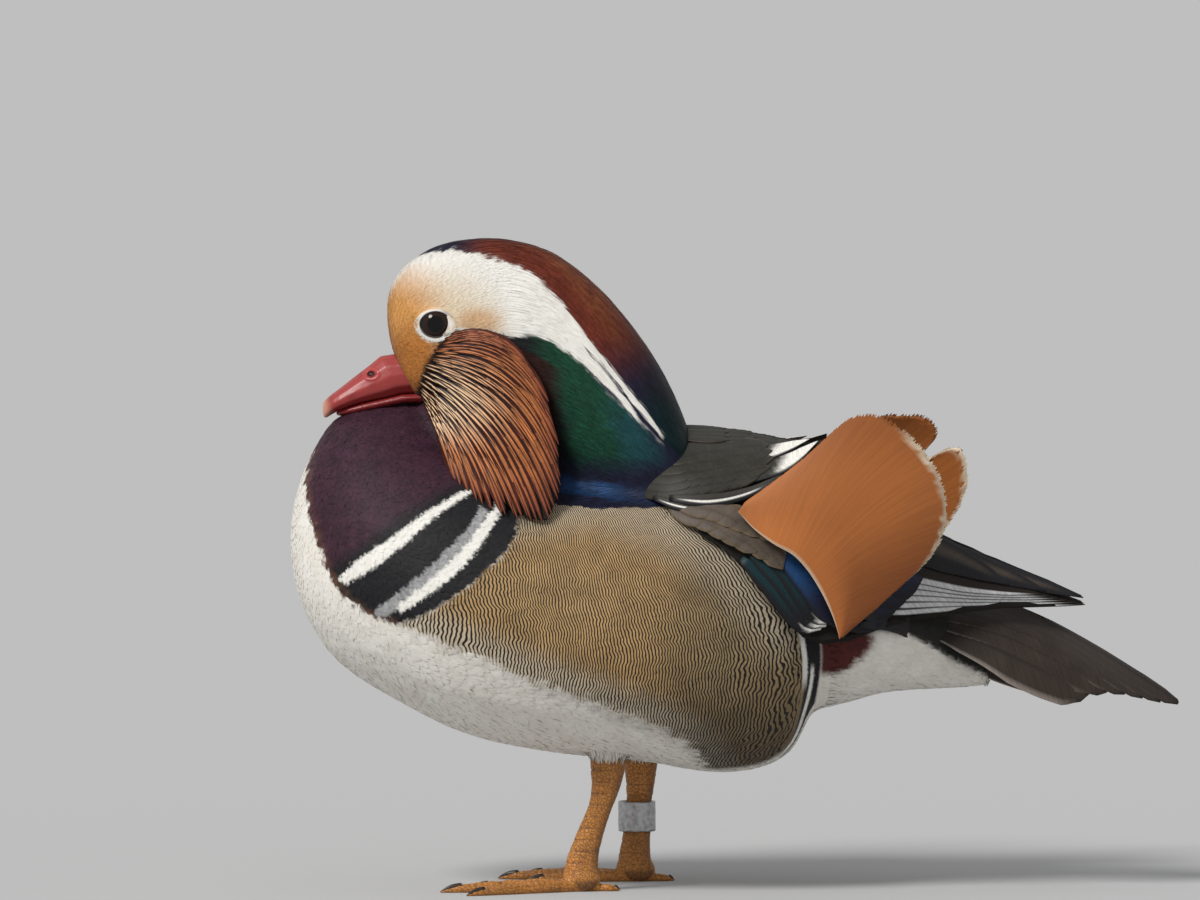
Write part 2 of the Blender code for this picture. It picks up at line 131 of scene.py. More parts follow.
def along_surface(way: Array, up: Array) -> Array:
    """Ways laid flat on surfaces with normals up."""
    return unit(way - up * (way * up).sum(axis=1, keepdims=True))


class Line:
    """A smooth line in the side view, which can be measured from."""

    def __init__(self, points: Points2, widths: Sequence[float] | None = None) -> None:
        """Keeps the line's curve and its half width at each point."""
        rows = [(*point, width) for point, width in zip(points, widths or [0.0] * len(points))]
        self.curve = spline(np.array(rows))

    def measure(self, y: Array, z: Array) -> tuple[Array, Array, Array]:
        """Where side points are about the line.

        Args:
            y: How far back each point is.
            z: How high it is.

        Returns:
            The distance, negative to the right of the line's way (in a view with y to the right
            and z up), the share of the way along, and the line's half width there.
        """
        at = np.column_stack([y, z])
        points, widths = self.curve[:, :2], self.curve[:, 2]
        nearest = np.zeros(len(at), np.int64)
        for chunk in range(0, len(at), 20000):
            part = at[chunk : chunk + 20000]
            apart = (points**2).sum(axis=1)[None] - 2.0 * part @ points.T
            nearest[chunk : chunk + 20000] = np.argmin(apart, axis=1)
        best = np.full(len(at), np.inf)
        side, share, width = np.ones(len(at)), np.zeros(len(at)), np.zeros(len(at))
        count = len(points) - 1
        for start in (np.maximum(nearest - 1, 0), np.minimum(nearest, count - 1)):
            first, way = points[start], points[start + 1] - points[start]
            off = at - first
            t = np.clip((off * way).sum(axis=1) / (way**2).sum(axis=1), 0.0, 1.0)
            apart = np.linalg.norm(off - way * t[:, None], axis=1)
            near = apart < best
            best = np.where(near, apart, best)
            turn = way[:, 0] * off[:, 1] - way[:, 1] * off[:, 0]
            side = np.where(near, np.where(turn >= 0, 1.0, -1.0), side)
            share = np.where(near, (start + t) / count, share)
            held = widths[start] + (widths[start + 1] - widths[start]) * t
            width = np.where(near, held, width)
        return best * side, share, width

    def off(self, at: Array) -> Array:
        """The distance of rows of x, y, z, negative to the right of the line's way."""
        return self.measure(at[:, 1], at[:, 2])[0]


# --------------------------------------------------------------------------- colours


class Tint(Enum):
    """Plumage colours, with some painted sheen and shade, as linear red, green and blue."""

    WHITE = (0.80, 0.78, 0.73)
    BELLY = (0.72, 0.68, 0.61)
    CREAM = (0.74, 0.63, 0.47)
    GOLD = (0.60, 0.29, 0.085)
    LORES = (0.42, 0.15, 0.028)
    PURPLE = (0.036, 0.011, 0.022)
    BLACK = (0.008, 0.008, 0.010)
    CHESTNUT = (0.125, 0.024, 0.013)
    COPPER_SHEEN = (0.23, 0.075, 0.028)
    NAVY = (0.010, 0.011, 0.028)
    GREEN = (0.005, 0.046, 0.024)
    TEAL = (0.008, 0.050, 0.062)
    BLUE = (0.012, 0.055, 0.16)
    FLANK = (0.40, 0.25, 0.105)
    FLANK_PALE = (0.52, 0.45, 0.34)
    FLANK_OLIVE = (0.27, 0.19, 0.095)
    GREY = (0.20, 0.17, 0.15)
    BACK = (0.027, 0.026, 0.020)
    WING_BROWN = (0.085, 0.065, 0.05)
    MAROON = (0.07, 0.012, 0.010)
    FRINGE = (0.13, 0.060, 0.034)
    TAIL_BROWN = (0.030, 0.021, 0.016)
    SILVER = (0.60, 0.60, 0.61)
    RUFF_DARK = (0.022, 0.006, 0.004)
    RUFF_RUST = (0.20, 0.052, 0.022)
    RUFF_STREAK = (0.56, 0.19, 0.056)
    RUFF_PALE = (0.88, 0.60, 0.36)
    RUFF_VANE = (0.085, 0.017, 0.010)
    SAIL = (0.37, 0.120, 0.030)
    SAIL_SHADE = (0.17, 0.048, 0.013)

    @property
    def rgb(self) -> Array:
        """The colour as a row of three numbers."""
        return np.array(self.value)


Colour = Tint | Array | tuple[float, float, float]


def blend(under: Colour, over: Colour, share: Array) -> Array:
    """Colours mixed by a share from 0 to 1 for each row; each is one colour, or rows of it."""
    one, two = (rows.rgb if isinstance(rows, Tint) else np.asarray(rows) for rows in (under, over))
    share = np.clip(share, 0.0, 1.0)[:, None]
    return one * (1.0 - share) + two * share


def layered(under: Colour, *layers: tuple[Colour, Array]) -> Array:
    """Colours with others laid over them in turn, each with its share."""
    for over, share in layers:
        under = blend(under, over, share)
    return under


class Markings:
    """The plumage's colours over the head and body, the same for skin and feathers."""

    breast_edge = Line((
        (-150, 185), (-150.2, 174), (-151.6, 166), (-154, 159.5), (-156, 148.5), (-154.4, 137.6),
        (-150.9, 127), (-147.8, 117.5), (-141.3, 108), (-131, 101.1), (-123.7, 98.5),
    ))
    flank_front = Line((
        (-127, 97), (-115.3, 100.7), (-107.3, 104.8), (-99.3, 110.2), (-92, 115.7), (-84.3, 123),
        (-79.2, 130.3), (-77.7, 137.6), (-75.2, 146.7), (-74, 165),
    ))
    flank_below = Line((
        (-131, 101.5), (-123.7, 98.5), (-107.3, 92.3), (-92.7, 85.8), (-63.5, 74.1), (-34.3, 63.1),
        (-19.7, 55.8), (-12.4, 47.4), (-5, 34),
    ))
    black_top = Line((
        (-80, 165), (-92.7, 153.5), (-107.3, 145.5), (-118.3, 139), (-127.4, 132.5), (-136.5, 125.5),
        (-150, 116),
    ))
    bar_one = Line((
        (-92, 148), (-95.6, 146), (-103.7, 141.6), (-111.7, 136.3), (-120.1, 129.6), (-128.5, 123.4),
        (-136.5, 117.9), (-142.5, 113.2),
    ), (0.7, 0.9, 1.3, 1.8, 2.3, 2.6, 2.6, 1.5))
    bar_two = Line((
        (-84.2, 145.5), (-85.2, 141.5), (-88.3, 135.8), (-92.7, 129.2), (-97.8, 123), (-103.7, 117.2),
        (-109.9, 112.1), (-116.4, 107.3), (-121.9, 103.3),
    ), (1.0, 1.5, 1.8, 2.0, 2.2, 2.2, 2.1, 1.8, 1.2))
    bar_grey = Line((
        (-90.2, 140.2), (-94.2, 133.2), (-100, 126.7), (-105.5, 120.5), (-112.1, 114.6), (-119, 109.1),
        (-125.6, 104), (-129.9, 101.8),
    ), (1.5, 1.6, 2.0, 2.2, 2.2, 2.2, 2.0, 1.2))
    rim = Line((
        (-40, 148), (-24.1, 142.3), (-12.4, 136.9), (0.4, 128.5), (9.5, 120), (16.8, 110.2), (22.3, 99.3),
        (24.8, 88.3), (25.2, 77.4), (23.7, 66.4), (20.1, 54.4), (11, 42),
    ))
    crown_edge = Line((
        (-130, 208), (-127.6, 214.3), (-125.2, 219.7), (-120.6, 225.9), (-114.6, 229.9), (-103.7, 232.5),
        (-92.7, 230.7), (-81.8, 227.8), (-74.5, 224.5), (-69, 220.1), (-63.5, 213.5), (-58, 206.2),
        (-52.6, 198.6), (-47.1, 191.6), (-39.8, 183.2), (-32.5, 174.1), (-26.6, 166.1),
    ))
    band_below = Line((
        (-106, 203.5), (-101.8, 204), (-92.7, 202.9), (-84.3, 201.8), (-74.5, 201.5), (-67.9, 200.4),
        (-59.9, 195.3), (-52.6, 188.7), (-43.4, 178.8), (-33.9, 170.5), (-26.6, 163),
    ))
    ruff_front = Line((
        (-80, 199), (-85.4, 201.8), (-92.7, 203.7), (-101.8, 203), (-107.3, 199), (-110.2, 195),
        (-112.8, 189.4), (-115, 183.2), (-117.8, 177),
    ))
    plume_high = Line((
        (-64, 212), (-58, 204.5), (-52, 197.2), (-46, 190.2), (-40, 182.8), (-34, 175), (-29.5, 169.5),
        (-26.4, 165.6),
    ), (2.2, 1.7, 1.3, 1.1, 1.0, 0.9, 0.6, 0.1))
    plume_low = Line((
        (-66, 203.5), (-60, 199), (-54, 193.8), (-48, 187.4), (-42.5, 181), (-38, 175.4), (-33.8, 170.2),
    ), (3.0, 2.6, 2.2, 1.8, 1.2, 0.8, 0.1))
    eye = (-108.9, 206.0)

    def head(self, at: Array, noise: Array) -> Array:
        """Colours of face, crown, white band and crest side.

        Args:
            at: Rows of x, y, z in mm.
            noise: A ragged shift for each row, from -1 to 1.

        Returns:
            Rows of colour.
        """
        y, z = at[:, 1], at[:, 2]
        above, _, _ = self.crown_edge.measure(y, z + 0.8 * noise * ramp(y, -122.0, -114.0))
        above = above - 1.4 * ramp(y, -112.0, -118.0)
        strands = grain(at * np.array([1.0, 0.35, 0.6]), 1.3, 5)
        below = self.band_below.off(at)
        low = ramp(below + 0.8 * noise, 0.6, -0.6) * ramp(y, -88.0, -84.0)
        gap = ramp(y - 0.3 * (z - 195.0), -56.5, -53.5)
        made = layered(
            self.face_colours(y, z, above),
            (self.crest_colours(y, z, strands), low),
            (self.crown_colours(at, above, strands), ramp(above + 0.7 * noise, -0.5, 0.7)),
            (Tint.NAVY, gap * ramp(below, -0.8, 0.6) * ramp(above, 0.8, -0.6)),
        )
        for plume in (self.plume_high, self.plume_low):
            off, way, width = plume.measure(y, z)
            near = ramp(width - np.abs(off) + 0.25 * noise, -0.25, 0.25) * ramp(way, 1.0, 0.99)
            made = blend(made, Tint.WHITE, near)
        # Cheek under the ruff, painted dark as the shade beneath the hackles, and the throat.
        cheek = ramp(self.ruff_front.off(at) + 0.8 * noise, -0.8, 0.8) * ramp(y, -60.0, -70.0)
        throat = ramp(z + 0.4 * (y + 120.0), 181.0, 177.0) * ramp(y, -84.0, -92.0)
        return layered(made, (Tint.RUFF_DARK, cheek * ramp(z, 206.0, 203.0)), (Tint.PURPLE, throat))

    def face_colours(self, y: Array, z: Array, above: Array) -> Array:
        """Gold before the eye, cream and then white behind and above it, and the white eye ring."""
        gold = ramp(np.hypot(y + 124.0, (z - 198.0) * 0.72), 27.0, 10.0)
        gold = np.maximum(gold, 0.6 * ramp(np.hypot((y + 93.0) * 0.6, z - 206.5), 7.5, 2.0))
        ring = ramp(np.abs(np.hypot(y - self.eye[0], (z - self.eye[1] + 0.9) * 1.08) - 5.4), 1.5, 0.6)
        tail = ramp(np.hypot((y + 99.5) * 0.5, z - 203.6), 1.6, 0.6)
        return layered(
            Tint.CREAM,
            (Tint.WHITE, ramp(np.hypot(y + 108.0, (z - 203.0) * 1.1), 12.0, 32.0)),
            (Tint.GOLD, gold),
            (Tint.LORES, 0.85 * ramp(np.hypot(y + 116.5, (z - 191.0) * 0.8), 16.0, 5.0)),
            (Tint.WHITE, ramp(above, -3.4, -1.2) * ramp(y, -88.0, -112.0)),
            (Tint.WHITE, np.maximum(ring, tail)),
        )

    def crown_colours(self, at: Array, above: Array, strands: Array) -> Array:
        """Navy over the forehead, chestnut over the head with a painted copper sheen on top, navy-black down
        the nape with a painted teal glint low down.
        """
        y, z = at[:, 1], at[:, 2]
        # painted sheen: a brighter copper laid over the chestnut on top of the crest
        painted_sheen = ramp(above, 4.0, 11.0) * ramp(y, -86.0, -66.0) * ramp(y, -30.0, -52.0)
        dark = ramp(z - 0.35 * y, 221.0, 196.0)
        top = ramp(np.abs(at[:, 0]), 3.6, 1.2) * ramp(y, -70.0, -84.0) * ramp(z, 232.5, 235.5)
        return layered(
            Tint.NAVY,
            (Tint.CHESTNUT, ramp(y, -104.0, -88.0)),
            (Tint.COPPER_SHEEN, painted_sheen * (0.5 + 0.5 * strands)),
            (Tint.NAVY, dark * (0.93 + 0.07 * strands)),
            # painted glint: a dim teal laid low on the navy-black at the crest's rear
            (Tint.TEAL.rgb * 0.28, ramp(z - 0.3 * y + 5.0 * strands, 200.0, 180.0)),
            (Tint.NAVY, top),
        )

    def crest_colours(self, y: Array, z: Array, strands: Array) -> Array:
        """Black-green beside the ruff, then green, teal and blue towards the crest's end."""
        off_blue = np.abs(z - 148.2 + 0.14 * (y + 64.0) + 1.2 * strands)
        blue = ramp(off_blue, 4.5, 1.2) * ramp(y, -66.0, -61.0) * (0.2 + 0.8 * ramp(y, -34.0, -48.0))
        return layered(
            Tint.BLACK,
            (Tint.GREEN, ramp(y + 0.35 * (z - 170.0) + 3.0 * strands, -67.0, -57.0)),
            (Tint.TEAL, 0.85 * ramp(y + 0.2 * (z - 170.0) + 4.0 * strands, -49.0, -37.0)),
            (Tint.NAVY, ramp(y + 0.3 * (z - 170.0) + 3.0 * strands, -37.0, -26.0)),
            (Tint.NAVY, ramp(z + 2.0 * strands, 160.0, 151.0)),
            (Tint.BLUE, 0.75 * blue),
        )

    def body(self, at: Array, noise: Array) -> tuple[Array, Array]:
        """Colours of breast, belly, flanks, back and rump.

        Args:
            at: Rows of x, y, z in mm.
            noise: A ragged shift for each row, from -1 to 1.

        Returns:
            Rows of colour, and how strongly each row carries the flank's fine dark waves.
        """
        x, y, z = np.abs(at[:, 0]), at[:, 1], at[:, 2]
        mottle = grain(at, 5.0, 11)
        above = self.flank_below.off(at)
        front = self.flank_front.off(at)
        past_rim = self.rim.off(at)
        on_flank = ramp(above + 3.2 * noise, -1.0, 3.2) * ramp(front + 1.2 * noise, 0.6, -0.6)
        behind_rim = ramp(past_rim, -0.2, 0.8) * ramp(y, -44.0, -30.0)
        on_flank = on_flank * ramp(x, 14.0, 24.0) * (1.0 - behind_rim)
        grey = ramp(np.abs(above - 1.0 + 2.0 * noise), 6.0, 1.0) * (0.5 + 0.5 * grain(at, 2.2, 3))
        made = layered(
            Tint.BELLY,
            (Tint.WHITE, 0.5 + 0.5 * mottle),
            (Tint.GREY, 0.55 * grey * ramp(y, -128.0, -112.0) * ramp(x, 20.0, 30.0)),
            (self.flank_colours(y, z, above, past_rim, mottle), on_flank),
        )
        black_end = 5.0 + 1.3 * ramp(z, 70.0, 95.0)
        made = self.rim_bands(made, at, past_rim, black_end)
        breast, dark = self.breast_colours(at, noise)
        dark = dark * ramp(front, -0.5, 0.5)
        made = blend(made, breast, dark * ramp(z, 92.0, 99.0) * ramp(y, -66.0, -74.0))
        waves = on_flank * ramp(past_rim, -0.7, -1.3) * (1.0 - dark)
        # Back and the chestnut spot on the rump; the rest under the tail stays white.
        roof = np.interp(y, (20, 53, 62, 83, 95), (96, 95, 94, 81.5, 76))
        upper = ramp(z - roof, -1.0, 1.5)
        past = ramp(past_rim - black_end, -0.5, 1.0) * ramp(y, -44.0, -30.0)
        made = blend(made, Tint.BACK.rgb * 0.55, past * np.maximum(upper, ramp(z, 96.0, 99.0)))
        along, beside = (y - 38.5) * 0.85 + (z - 88.5) * 0.53, (z - 88.5) * 0.85 - (y - 38.5) * 0.53
        spot = ramp(np.hypot(along / 13.0, beside / 8.0) + 0.08 * noise, 1.1, 0.8) * ramp(x, 5.0, 12.0)
        return blend(made, Tint.MAROON, spot * past), waves

    def flank_colours(self, y: Array, z: Array, above: Array, past_rim: Array, mottle: Array) -> Array:
        """Buff, paler along its borders, olive to the rear, and darkened low down there as painted shade."""
        pale = np.maximum(ramp(z - 0.12 * y, 132.0, 150.0), ramp(above, 16.0, 3.0))
        pale = np.maximum(pale, 0.8 * ramp(past_rim, -26.0, -7.0) * ramp(z, 78.0, 100.0))
        made = blend(Tint.FLANK, Tint.FLANK_OLIVE, ramp(y, -40.0, -5.0))
        made = made * (1.0 + 0.14 * mottle)[:, None]
        made = blend(made, Tint.FLANK_PALE, 0.85 * pale)
        # painted shade: the flank is darkened low down towards the rear
        return blend(made, made * 0.45, ramp(z, 78.0, 48.0) * ramp(y, -40.0, -10.0))

    def rim_bands(self, made: Array, at: Array, past_rim: Array, black_end: Array) -> Array:
        """Adds the flank's rim: a white line, a black band, a second thin white line."""
        x, y, z = np.abs(at[:, 0]), at[:, 1], at[:, 2]
        behind = ramp(y, -36.0, -20.0)
        taper = ramp(x, 9.0, 20.0)
        band = ramp(past_rim, -0.3, 0.3) * ramp(past_rim - black_end * taper, 0.3, -0.3)
        middle = np.interp(z, (50.0, 80.0), (0.7, 2.7)) * taper
        second = ramp(np.abs(past_rim - middle), 0.8, 0.4) * ramp(z, 84.0, 80.0) * ramp(z, 41.0, 46.0)
        return layered(
            made,
            (Tint.BLACK, band * behind * ramp(z, 40.0, 42.0)),
            (Tint.WHITE, ramp(np.abs(past_rim), 1.1, 0.7) * behind * ramp(z, 72.0, 80.0)),
            (Tint.WHITE, second * behind),
        )

    def breast_colours(self, at: Array, noise: Array) -> tuple[Array, Array]:
        """The dark breast, its black lower part and its bars, and where the breast is dark."""
        y, z = at[:, 1], at[:, 2]
        edge = self.breast_edge.off(at)
        dark = np.maximum(ramp(edge + 1.5 * noise, -0.5, 0.5), ramp(z + 1.5 * noise, 165.0, 167.0))
        made = blend(Tint.PURPLE, Tint.BLACK, ramp(self.black_top.off(at), -3.0, 3.5))
        made = made * (1.0 + 0.30 * grain(at, 2.6, 8))[:, None]
        fringe = ramp(edge, 3.6, 0.4) * ramp(z, 168.0, 150.0) * (0.5 + 0.5 * grain(at, 2.0, 9))
        made = blend(made, Tint.FRINGE, 0.9 * fringe)
        for line, colour in (
            (self.bar_grey, Tint.SILVER.rgb * 0.5),
            (self.bar_one, Tint.WHITE),
            (self.bar_two, Tint.WHITE),
        ):
            off, way, width = line.measure(y, z)
            ends = ramp(way, 0.0, 0.015) * ramp(way, 1.0, 0.985)
            made = blend(made, colour, ramp(width - np.abs(off) + 0.25 * noise, -0.25, 0.25) * ends)
        return made, dark

    def flow(self, at: Array) -> Array:
        """A number that grows by one from each dark wave of the flank to the next one behind it."""
        y, z = at[:, 1], at[:, 2]
        rim = self.rim.curve[::-1]
        shape = np.interp(z, rim[:, 1], rim[:, 0]) - 25.0
        way = y - (0.22 + 0.78 * ramp(y, -95.0, 15.0)) * shape
        steps = np.arange(-140.0, 60.0, 1.0)
        size = 1.12 + 0.40 * ramp(steps, -70.0, -110.0) + 0.55 * ramp(steps, -12.0, 22.0)
        return np.interp(way, steps, np.cumsum(1.0 / size))


MARKINGS = Markings()


# --------------------------------------------------------------------------- materials


class Shader:
    """A node material under construction, on a Principled BSDF."""

    def __init__(self, name: str, roughness: float, **constants: float) -> None:
        """Starts a material; further words are names of sockets, with _ for a space."""
        self.material = bpy.data.materials.new(name)
        self.material.use_nodes = True
        self.tree = self.material.node_tree
        self.bsdf = self.tree.nodes["Principled BSDF"]
        self.set(self.bsdf, Roughness=roughness, **constants)

    def set(self, node: bpy.types.Node, **values: object) -> None:
        """Sets unlinked sockets by name, with _ for a space."""
        for name, value in values.items():
            node.inputs[name.replace("_", " ")].default_value = value

    def node(self, kind: str, **settings: object) -> bpy.types.Node:
        """Adds a node of one kind, with settings such as operation."""
        made = self.tree.nodes.new(f"ShaderNode{kind}")
        for name, value in settings.items():
            setattr(made, name, value)
        return made

    def feed(self, socket: Socket, value: object) -> None:
        """Links a socket, or sets it to a number."""
        if isinstance(value, Socket):
            self.tree.links.new(value, socket)
        else:
            socket.default_value = value

    def place(self) -> Socket:
        """Object coordinates, in metres."""
        return self.node("TexCoord").outputs["Object"]

    def attribute(self, name: str) -> Socket:
        """A number stored on the mesh."""
        return self.node("Attribute", attribute_name=name).outputs["Fac"]

    def tint(self) -> Socket:
        """The mesh's own colour."""
        return self.node("Attribute", attribute_name="tint").outputs["Color"]

    def dimmed(self, colour: Socket, factor: Socket) -> Socket:
        """A colour times a number."""
        grey = self.node("CombineColor")
        for socket in grey.inputs:
            self.feed(socket, factor)
        return self.mix(1.0, colour, grey.outputs[0], "MULTIPLY")

    def maths(self, operation: str, one: object, other: object = 0.0) -> Socket:
        """One sum of two numbers."""
        made = self.node("Math", operation=operation)
        self.feed(made.inputs[0], one)
        self.feed(made.inputs[1], other)
        return made.outputs[0]

    def noise(
        self, scale: float, detail: float = 2.0, at: object = None, stretch: Sequence[float] = (1, 1, 1)
    ) -> Socket:
        """Noise from 0 to 1 over a place, stretched by factors along its axes."""
        mapping = self.node("Mapping")
        self.feed(mapping.inputs["Vector"], at or self.place())
        mapping.inputs["Scale"].default_value = tuple(stretch)
        made = self.node("TexNoise")
        self.set(made, Scale=scale, Detail=detail)
        self.feed(made.inputs["Vector"], mapping.outputs[0])
        return made.outputs["Fac"]

    def spread(
        self, value: object, low: float, high: float, to_low: float = 0.0, to_high: float = 1.0
    ) -> Socket:
        """A value moved smoothly from one range to another."""
        made = self.node("MapRange", interpolation_type="SMOOTHSTEP")
        self.feed(made.inputs["Value"], value)
        ranges = {"From_Min": low, "From_Max": high, "To_Min": to_low, "To_Max": to_high}
        self.set(made, **ranges)
        return made.outputs["Result"]

    def mix(self, share: object, one: object, other: object, way: str = "MIX") -> Socket:
        """Two colours mixed."""
        made = self.node("Mix", data_type="RGBA", blend_type=way)
        for socket, value in ((made.inputs[0], share), (made.inputs[6], one), (made.inputs[7], other)):
            if isinstance(value, tuple):
                value = (*value[:3], 1.0)
            self.feed(socket, value)
        return made.outputs[2]

    def bump(self, height: object, depth: float, strength: float = 1.0) -> None:
        """Bumps the surface by a height, depth in metres."""
        made = self.node("Bump")
        self.set(made, Strength=strength, Distance=depth)
        self.feed(made.inputs["Height"], height)
        self.feed(self.bsdf.inputs["Normal"], made.outputs[0])

    def paint(self, colour: object) -> bpy.types.Material:
        """Feeds the base colour and gives the material."""
        self.feed(self.bsdf.inputs["Base Color"], colour)
        return self.material


@dataclass(frozen=True)
class Plumage:
    """Feathers whose colour is in the mesh's tint, with streaks and, on the flank, dark waves.

    barb is how strong the fine lines of a large feather are, reach how often they break, and sway
    how much the dark waves wander.
    """

    name: str
    roughness: float = 0.62
    sheen: float = 0.04
    streak: float = 0.25
    waves: bool = False
    barbs: bool = False
    gloss: float = 0.22
    barb: float = 0.17
    reach: float = 0.12
    sway: float = 26.0

    def make(self) -> bpy.types.Material:
        """Builds the material."""
        sheen = {"Sheen_Weight": self.sheen, "Sheen_Roughness": 0.45}
        shader = Shader(self.name, self.roughness, Specular_IOR_Level=self.gloss, **sheen)
        tint = shader.tint()
        fine = shader.noise(900.0, 3.0)
        most = shader.maths("MULTIPLY", fine, 0.6)
        shade = shader.maths("ADD", most, shader.maths("MULTIPLY", shader.noise(140.0), 0.4))
        factor = shader.spread(shade, 0.3, 0.7, 1.0 - self.streak, 1.0 + self.streak)
        # Bright plumage is streaked less.
        calm = shader.spread(tint, 0.2, 0.6, 0.0, 0.8)
        rest = shader.maths("MULTIPLY", shader.maths("SUBTRACT", 1.0, factor), calm)
        factor = shader.maths("ADD", factor, rest)
        colour = shader.dimmed(tint, factor)
        height = fine
        if self.waves:
            colour = shader.mix(self.dark_waves(shader), colour, (0.012, 0.010, 0.009))
        if self.barbs:
            height, colour = self.barb_lines(shader, colour)
        shader.bump(height, 0.0001, 0.5)
        return shader.paint(colour)

    def dark_waves(self, shader: Shader) -> Socket:
        """How dark each place is from the fine waves across the flank."""
        flow = shader.attribute("flow")
        broad = shader.noise(75.0, 1.0, None, (1, 0.45, 1))
        warp = shader.maths("MULTIPLY", shader.maths("SUBTRACT", broad, 0.5), self.sway)
        zigzag = shader.noise(300.0, 1.0, None, (1, 0.3, 1))
        wobble = shader.maths("MULTIPLY", shader.maths("SUBTRACT", zigzag, 0.5), self.sway / 2.0)
        turns = shader.maths("MULTIPLY", flow, 2.0 * math.pi)
        phase = shader.maths("ADD", shader.maths("ADD", turns, warp), wobble)
        cover = shader.spread(shader.maths("SINE", phase), -0.25, 0.6)
        return shader.maths("MULTIPLY", cover, shader.attribute("waves"))

    def barb_lines(self, shader: Shader, colour: Socket) -> tuple[Socket, Socket]:
        """Fine lines that leave the shaft aslant, as bump and as a faint change of colour."""
        uv = shader.node("UVMap", uv_map="Vane").outputs[0]
        parts = shader.node("SeparateXYZ")
        shader.feed(parts.inputs[0], uv)
        off = shader.maths("ABSOLUTE", parts.outputs[0])
        along = shader.maths("SUBTRACT", parts.outputs[1], shader.maths("MULTIPLY", off, 0.9))
        place = shader.node("CombineXYZ")
        shader.feed(place.inputs[0], shader.maths("MULTIPLY", off, self.reach))
        shader.feed(place.inputs[1], along)
        streaks = shader.noise(1700.0, 2.0, place.outputs[0])
        shade = shader.spread(streaks, 0.3, 0.7, 1.0 - self.barb, 1.0 + self.barb)
        return streaks, shader.dimmed(colour, shade)


# --------------------------------------------------------------------------- skin


def settled(name: str, shape: bmesh.types.BMesh, material: bpy.types.Material | None) -> bpy.types.Object:
    """A scene object from a bmesh, shaded smooth."""
    mesh = bpy.data.meshes.new(name)
    shape.to_mesh(mesh)
    shape.free()
    if material:
        mesh.materials.append(material)
    mesh.shade_smooth()
    made = bpy.data.objects.new(name, mesh)
    bpy.context.scene.collection.objects.link(made)
    return made


def write_tint(mesh: bpy.types.Mesh, colours: Array) -> None:
    """Stores rows of colour as the mesh's tint."""
    held = mesh.color_attributes.new("tint", "FLOAT_COLOR", "POINT")
    rows = np.column_stack([np.clip(colours, 0.0, 1.0), np.ones(len(colours))]).astype(np.float32)
    held.data.foreach_set("color", rows.ravel())


def write_number(mesh: bpy.types.Mesh, name: str, values: Array) -> None:
    """Stores one number for each point of the mesh."""
    held = mesh.attributes.new(name, "FLOAT", "POINT")
    held.data.foreach_set("value", np.asarray(values, np.float32))


def coordinates(mesh: bpy.types.Mesh, what: str = "co") -> Array:
    """The places of the mesh's points as rows, or what else is named."""
    rows = np.empty(len(mesh.vertices) * 3, np.float32)
    mesh.vertices.foreach_get(what, rows)
    return rows.reshape(-1, 3).astype(float)


def normals(mesh: bpy.types.Mesh) -> Array:
    """The normals at the mesh's points, as rows."""
    return coordinates(mesh, "normal")


def triangles(mesh: bpy.types.Mesh) -> Array:
    """The numbers of the points of each of the mesh's triangles, as rows."""
    mesh.calc_loop_triangles()
    rows = np.empty(len(mesh.loop_triangles) * 3, np.int32)
    mesh.loop_triangles.foreach_get("vertices", rows)
    return rows.reshape(-1, 3)


def move(mesh: bpy.types.Mesh, at: Array) -> None:
    """Puts the mesh's points at rows of places in metres."""
    mesh.vertices.foreach_set("co", at.astype(np.float32).ravel())
    mesh.update()


def copied(nodes: Iterable[str], swell: float) -> bmesh.types.BMesh:
    """Closed copies of solids in one bmesh, each grown by some metres."""
    shape = bmesh.new()
    for node in nodes:
        shape.from_mesh(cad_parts[node].data)
    bmesh.ops.remove_doubles(shape, verts=shape.verts, dist=1e-6)
    shape.normal_update()
    for point in shape.verts:
        point.co += point.normal * swell
    return shape


def melted(name: str, nodes: Iterable[str], voxel: float, swell: float, rounds: int) -> bpy.types.Object:
    """Copies of solids grown a little and melted into one smooth closed form.

    Args:
        name: The new object's name.
        nodes: The solids to copy.
        voxel: The size of the new form's faces, in metres.
        swell: How far each copy is grown first, so that gaps close.
        rounds: How often the form is smoothed.

    Returns:
        The new object, still grown by swell.
    """
    made = settled(name, copied(nodes, swell), None)
    remesh = made.modifiers.new("melt", "REMESH")
    remesh.mode = "VOXEL"
    remesh.voxel_size = voxel
    evaluated = made.evaluated_get(bpy.context.evaluated_depsgraph_get())
    mesh = bpy.data.meshes.new_from_object(evaluated)
    made.modifiers.clear()
    made.data = mesh
    shape = bmesh.new()
    shape.from_mesh(mesh)
    for _ in range(rounds):
        bmesh.ops.smooth_vert(
            shape, verts=shape.verts, factor=0.5, use_axis_x=True, use_axis_y=True, use_axis_z=True
        )
    shape.to_mesh(mesh)
    shape.free()
    mesh.shade_smooth()
    return made


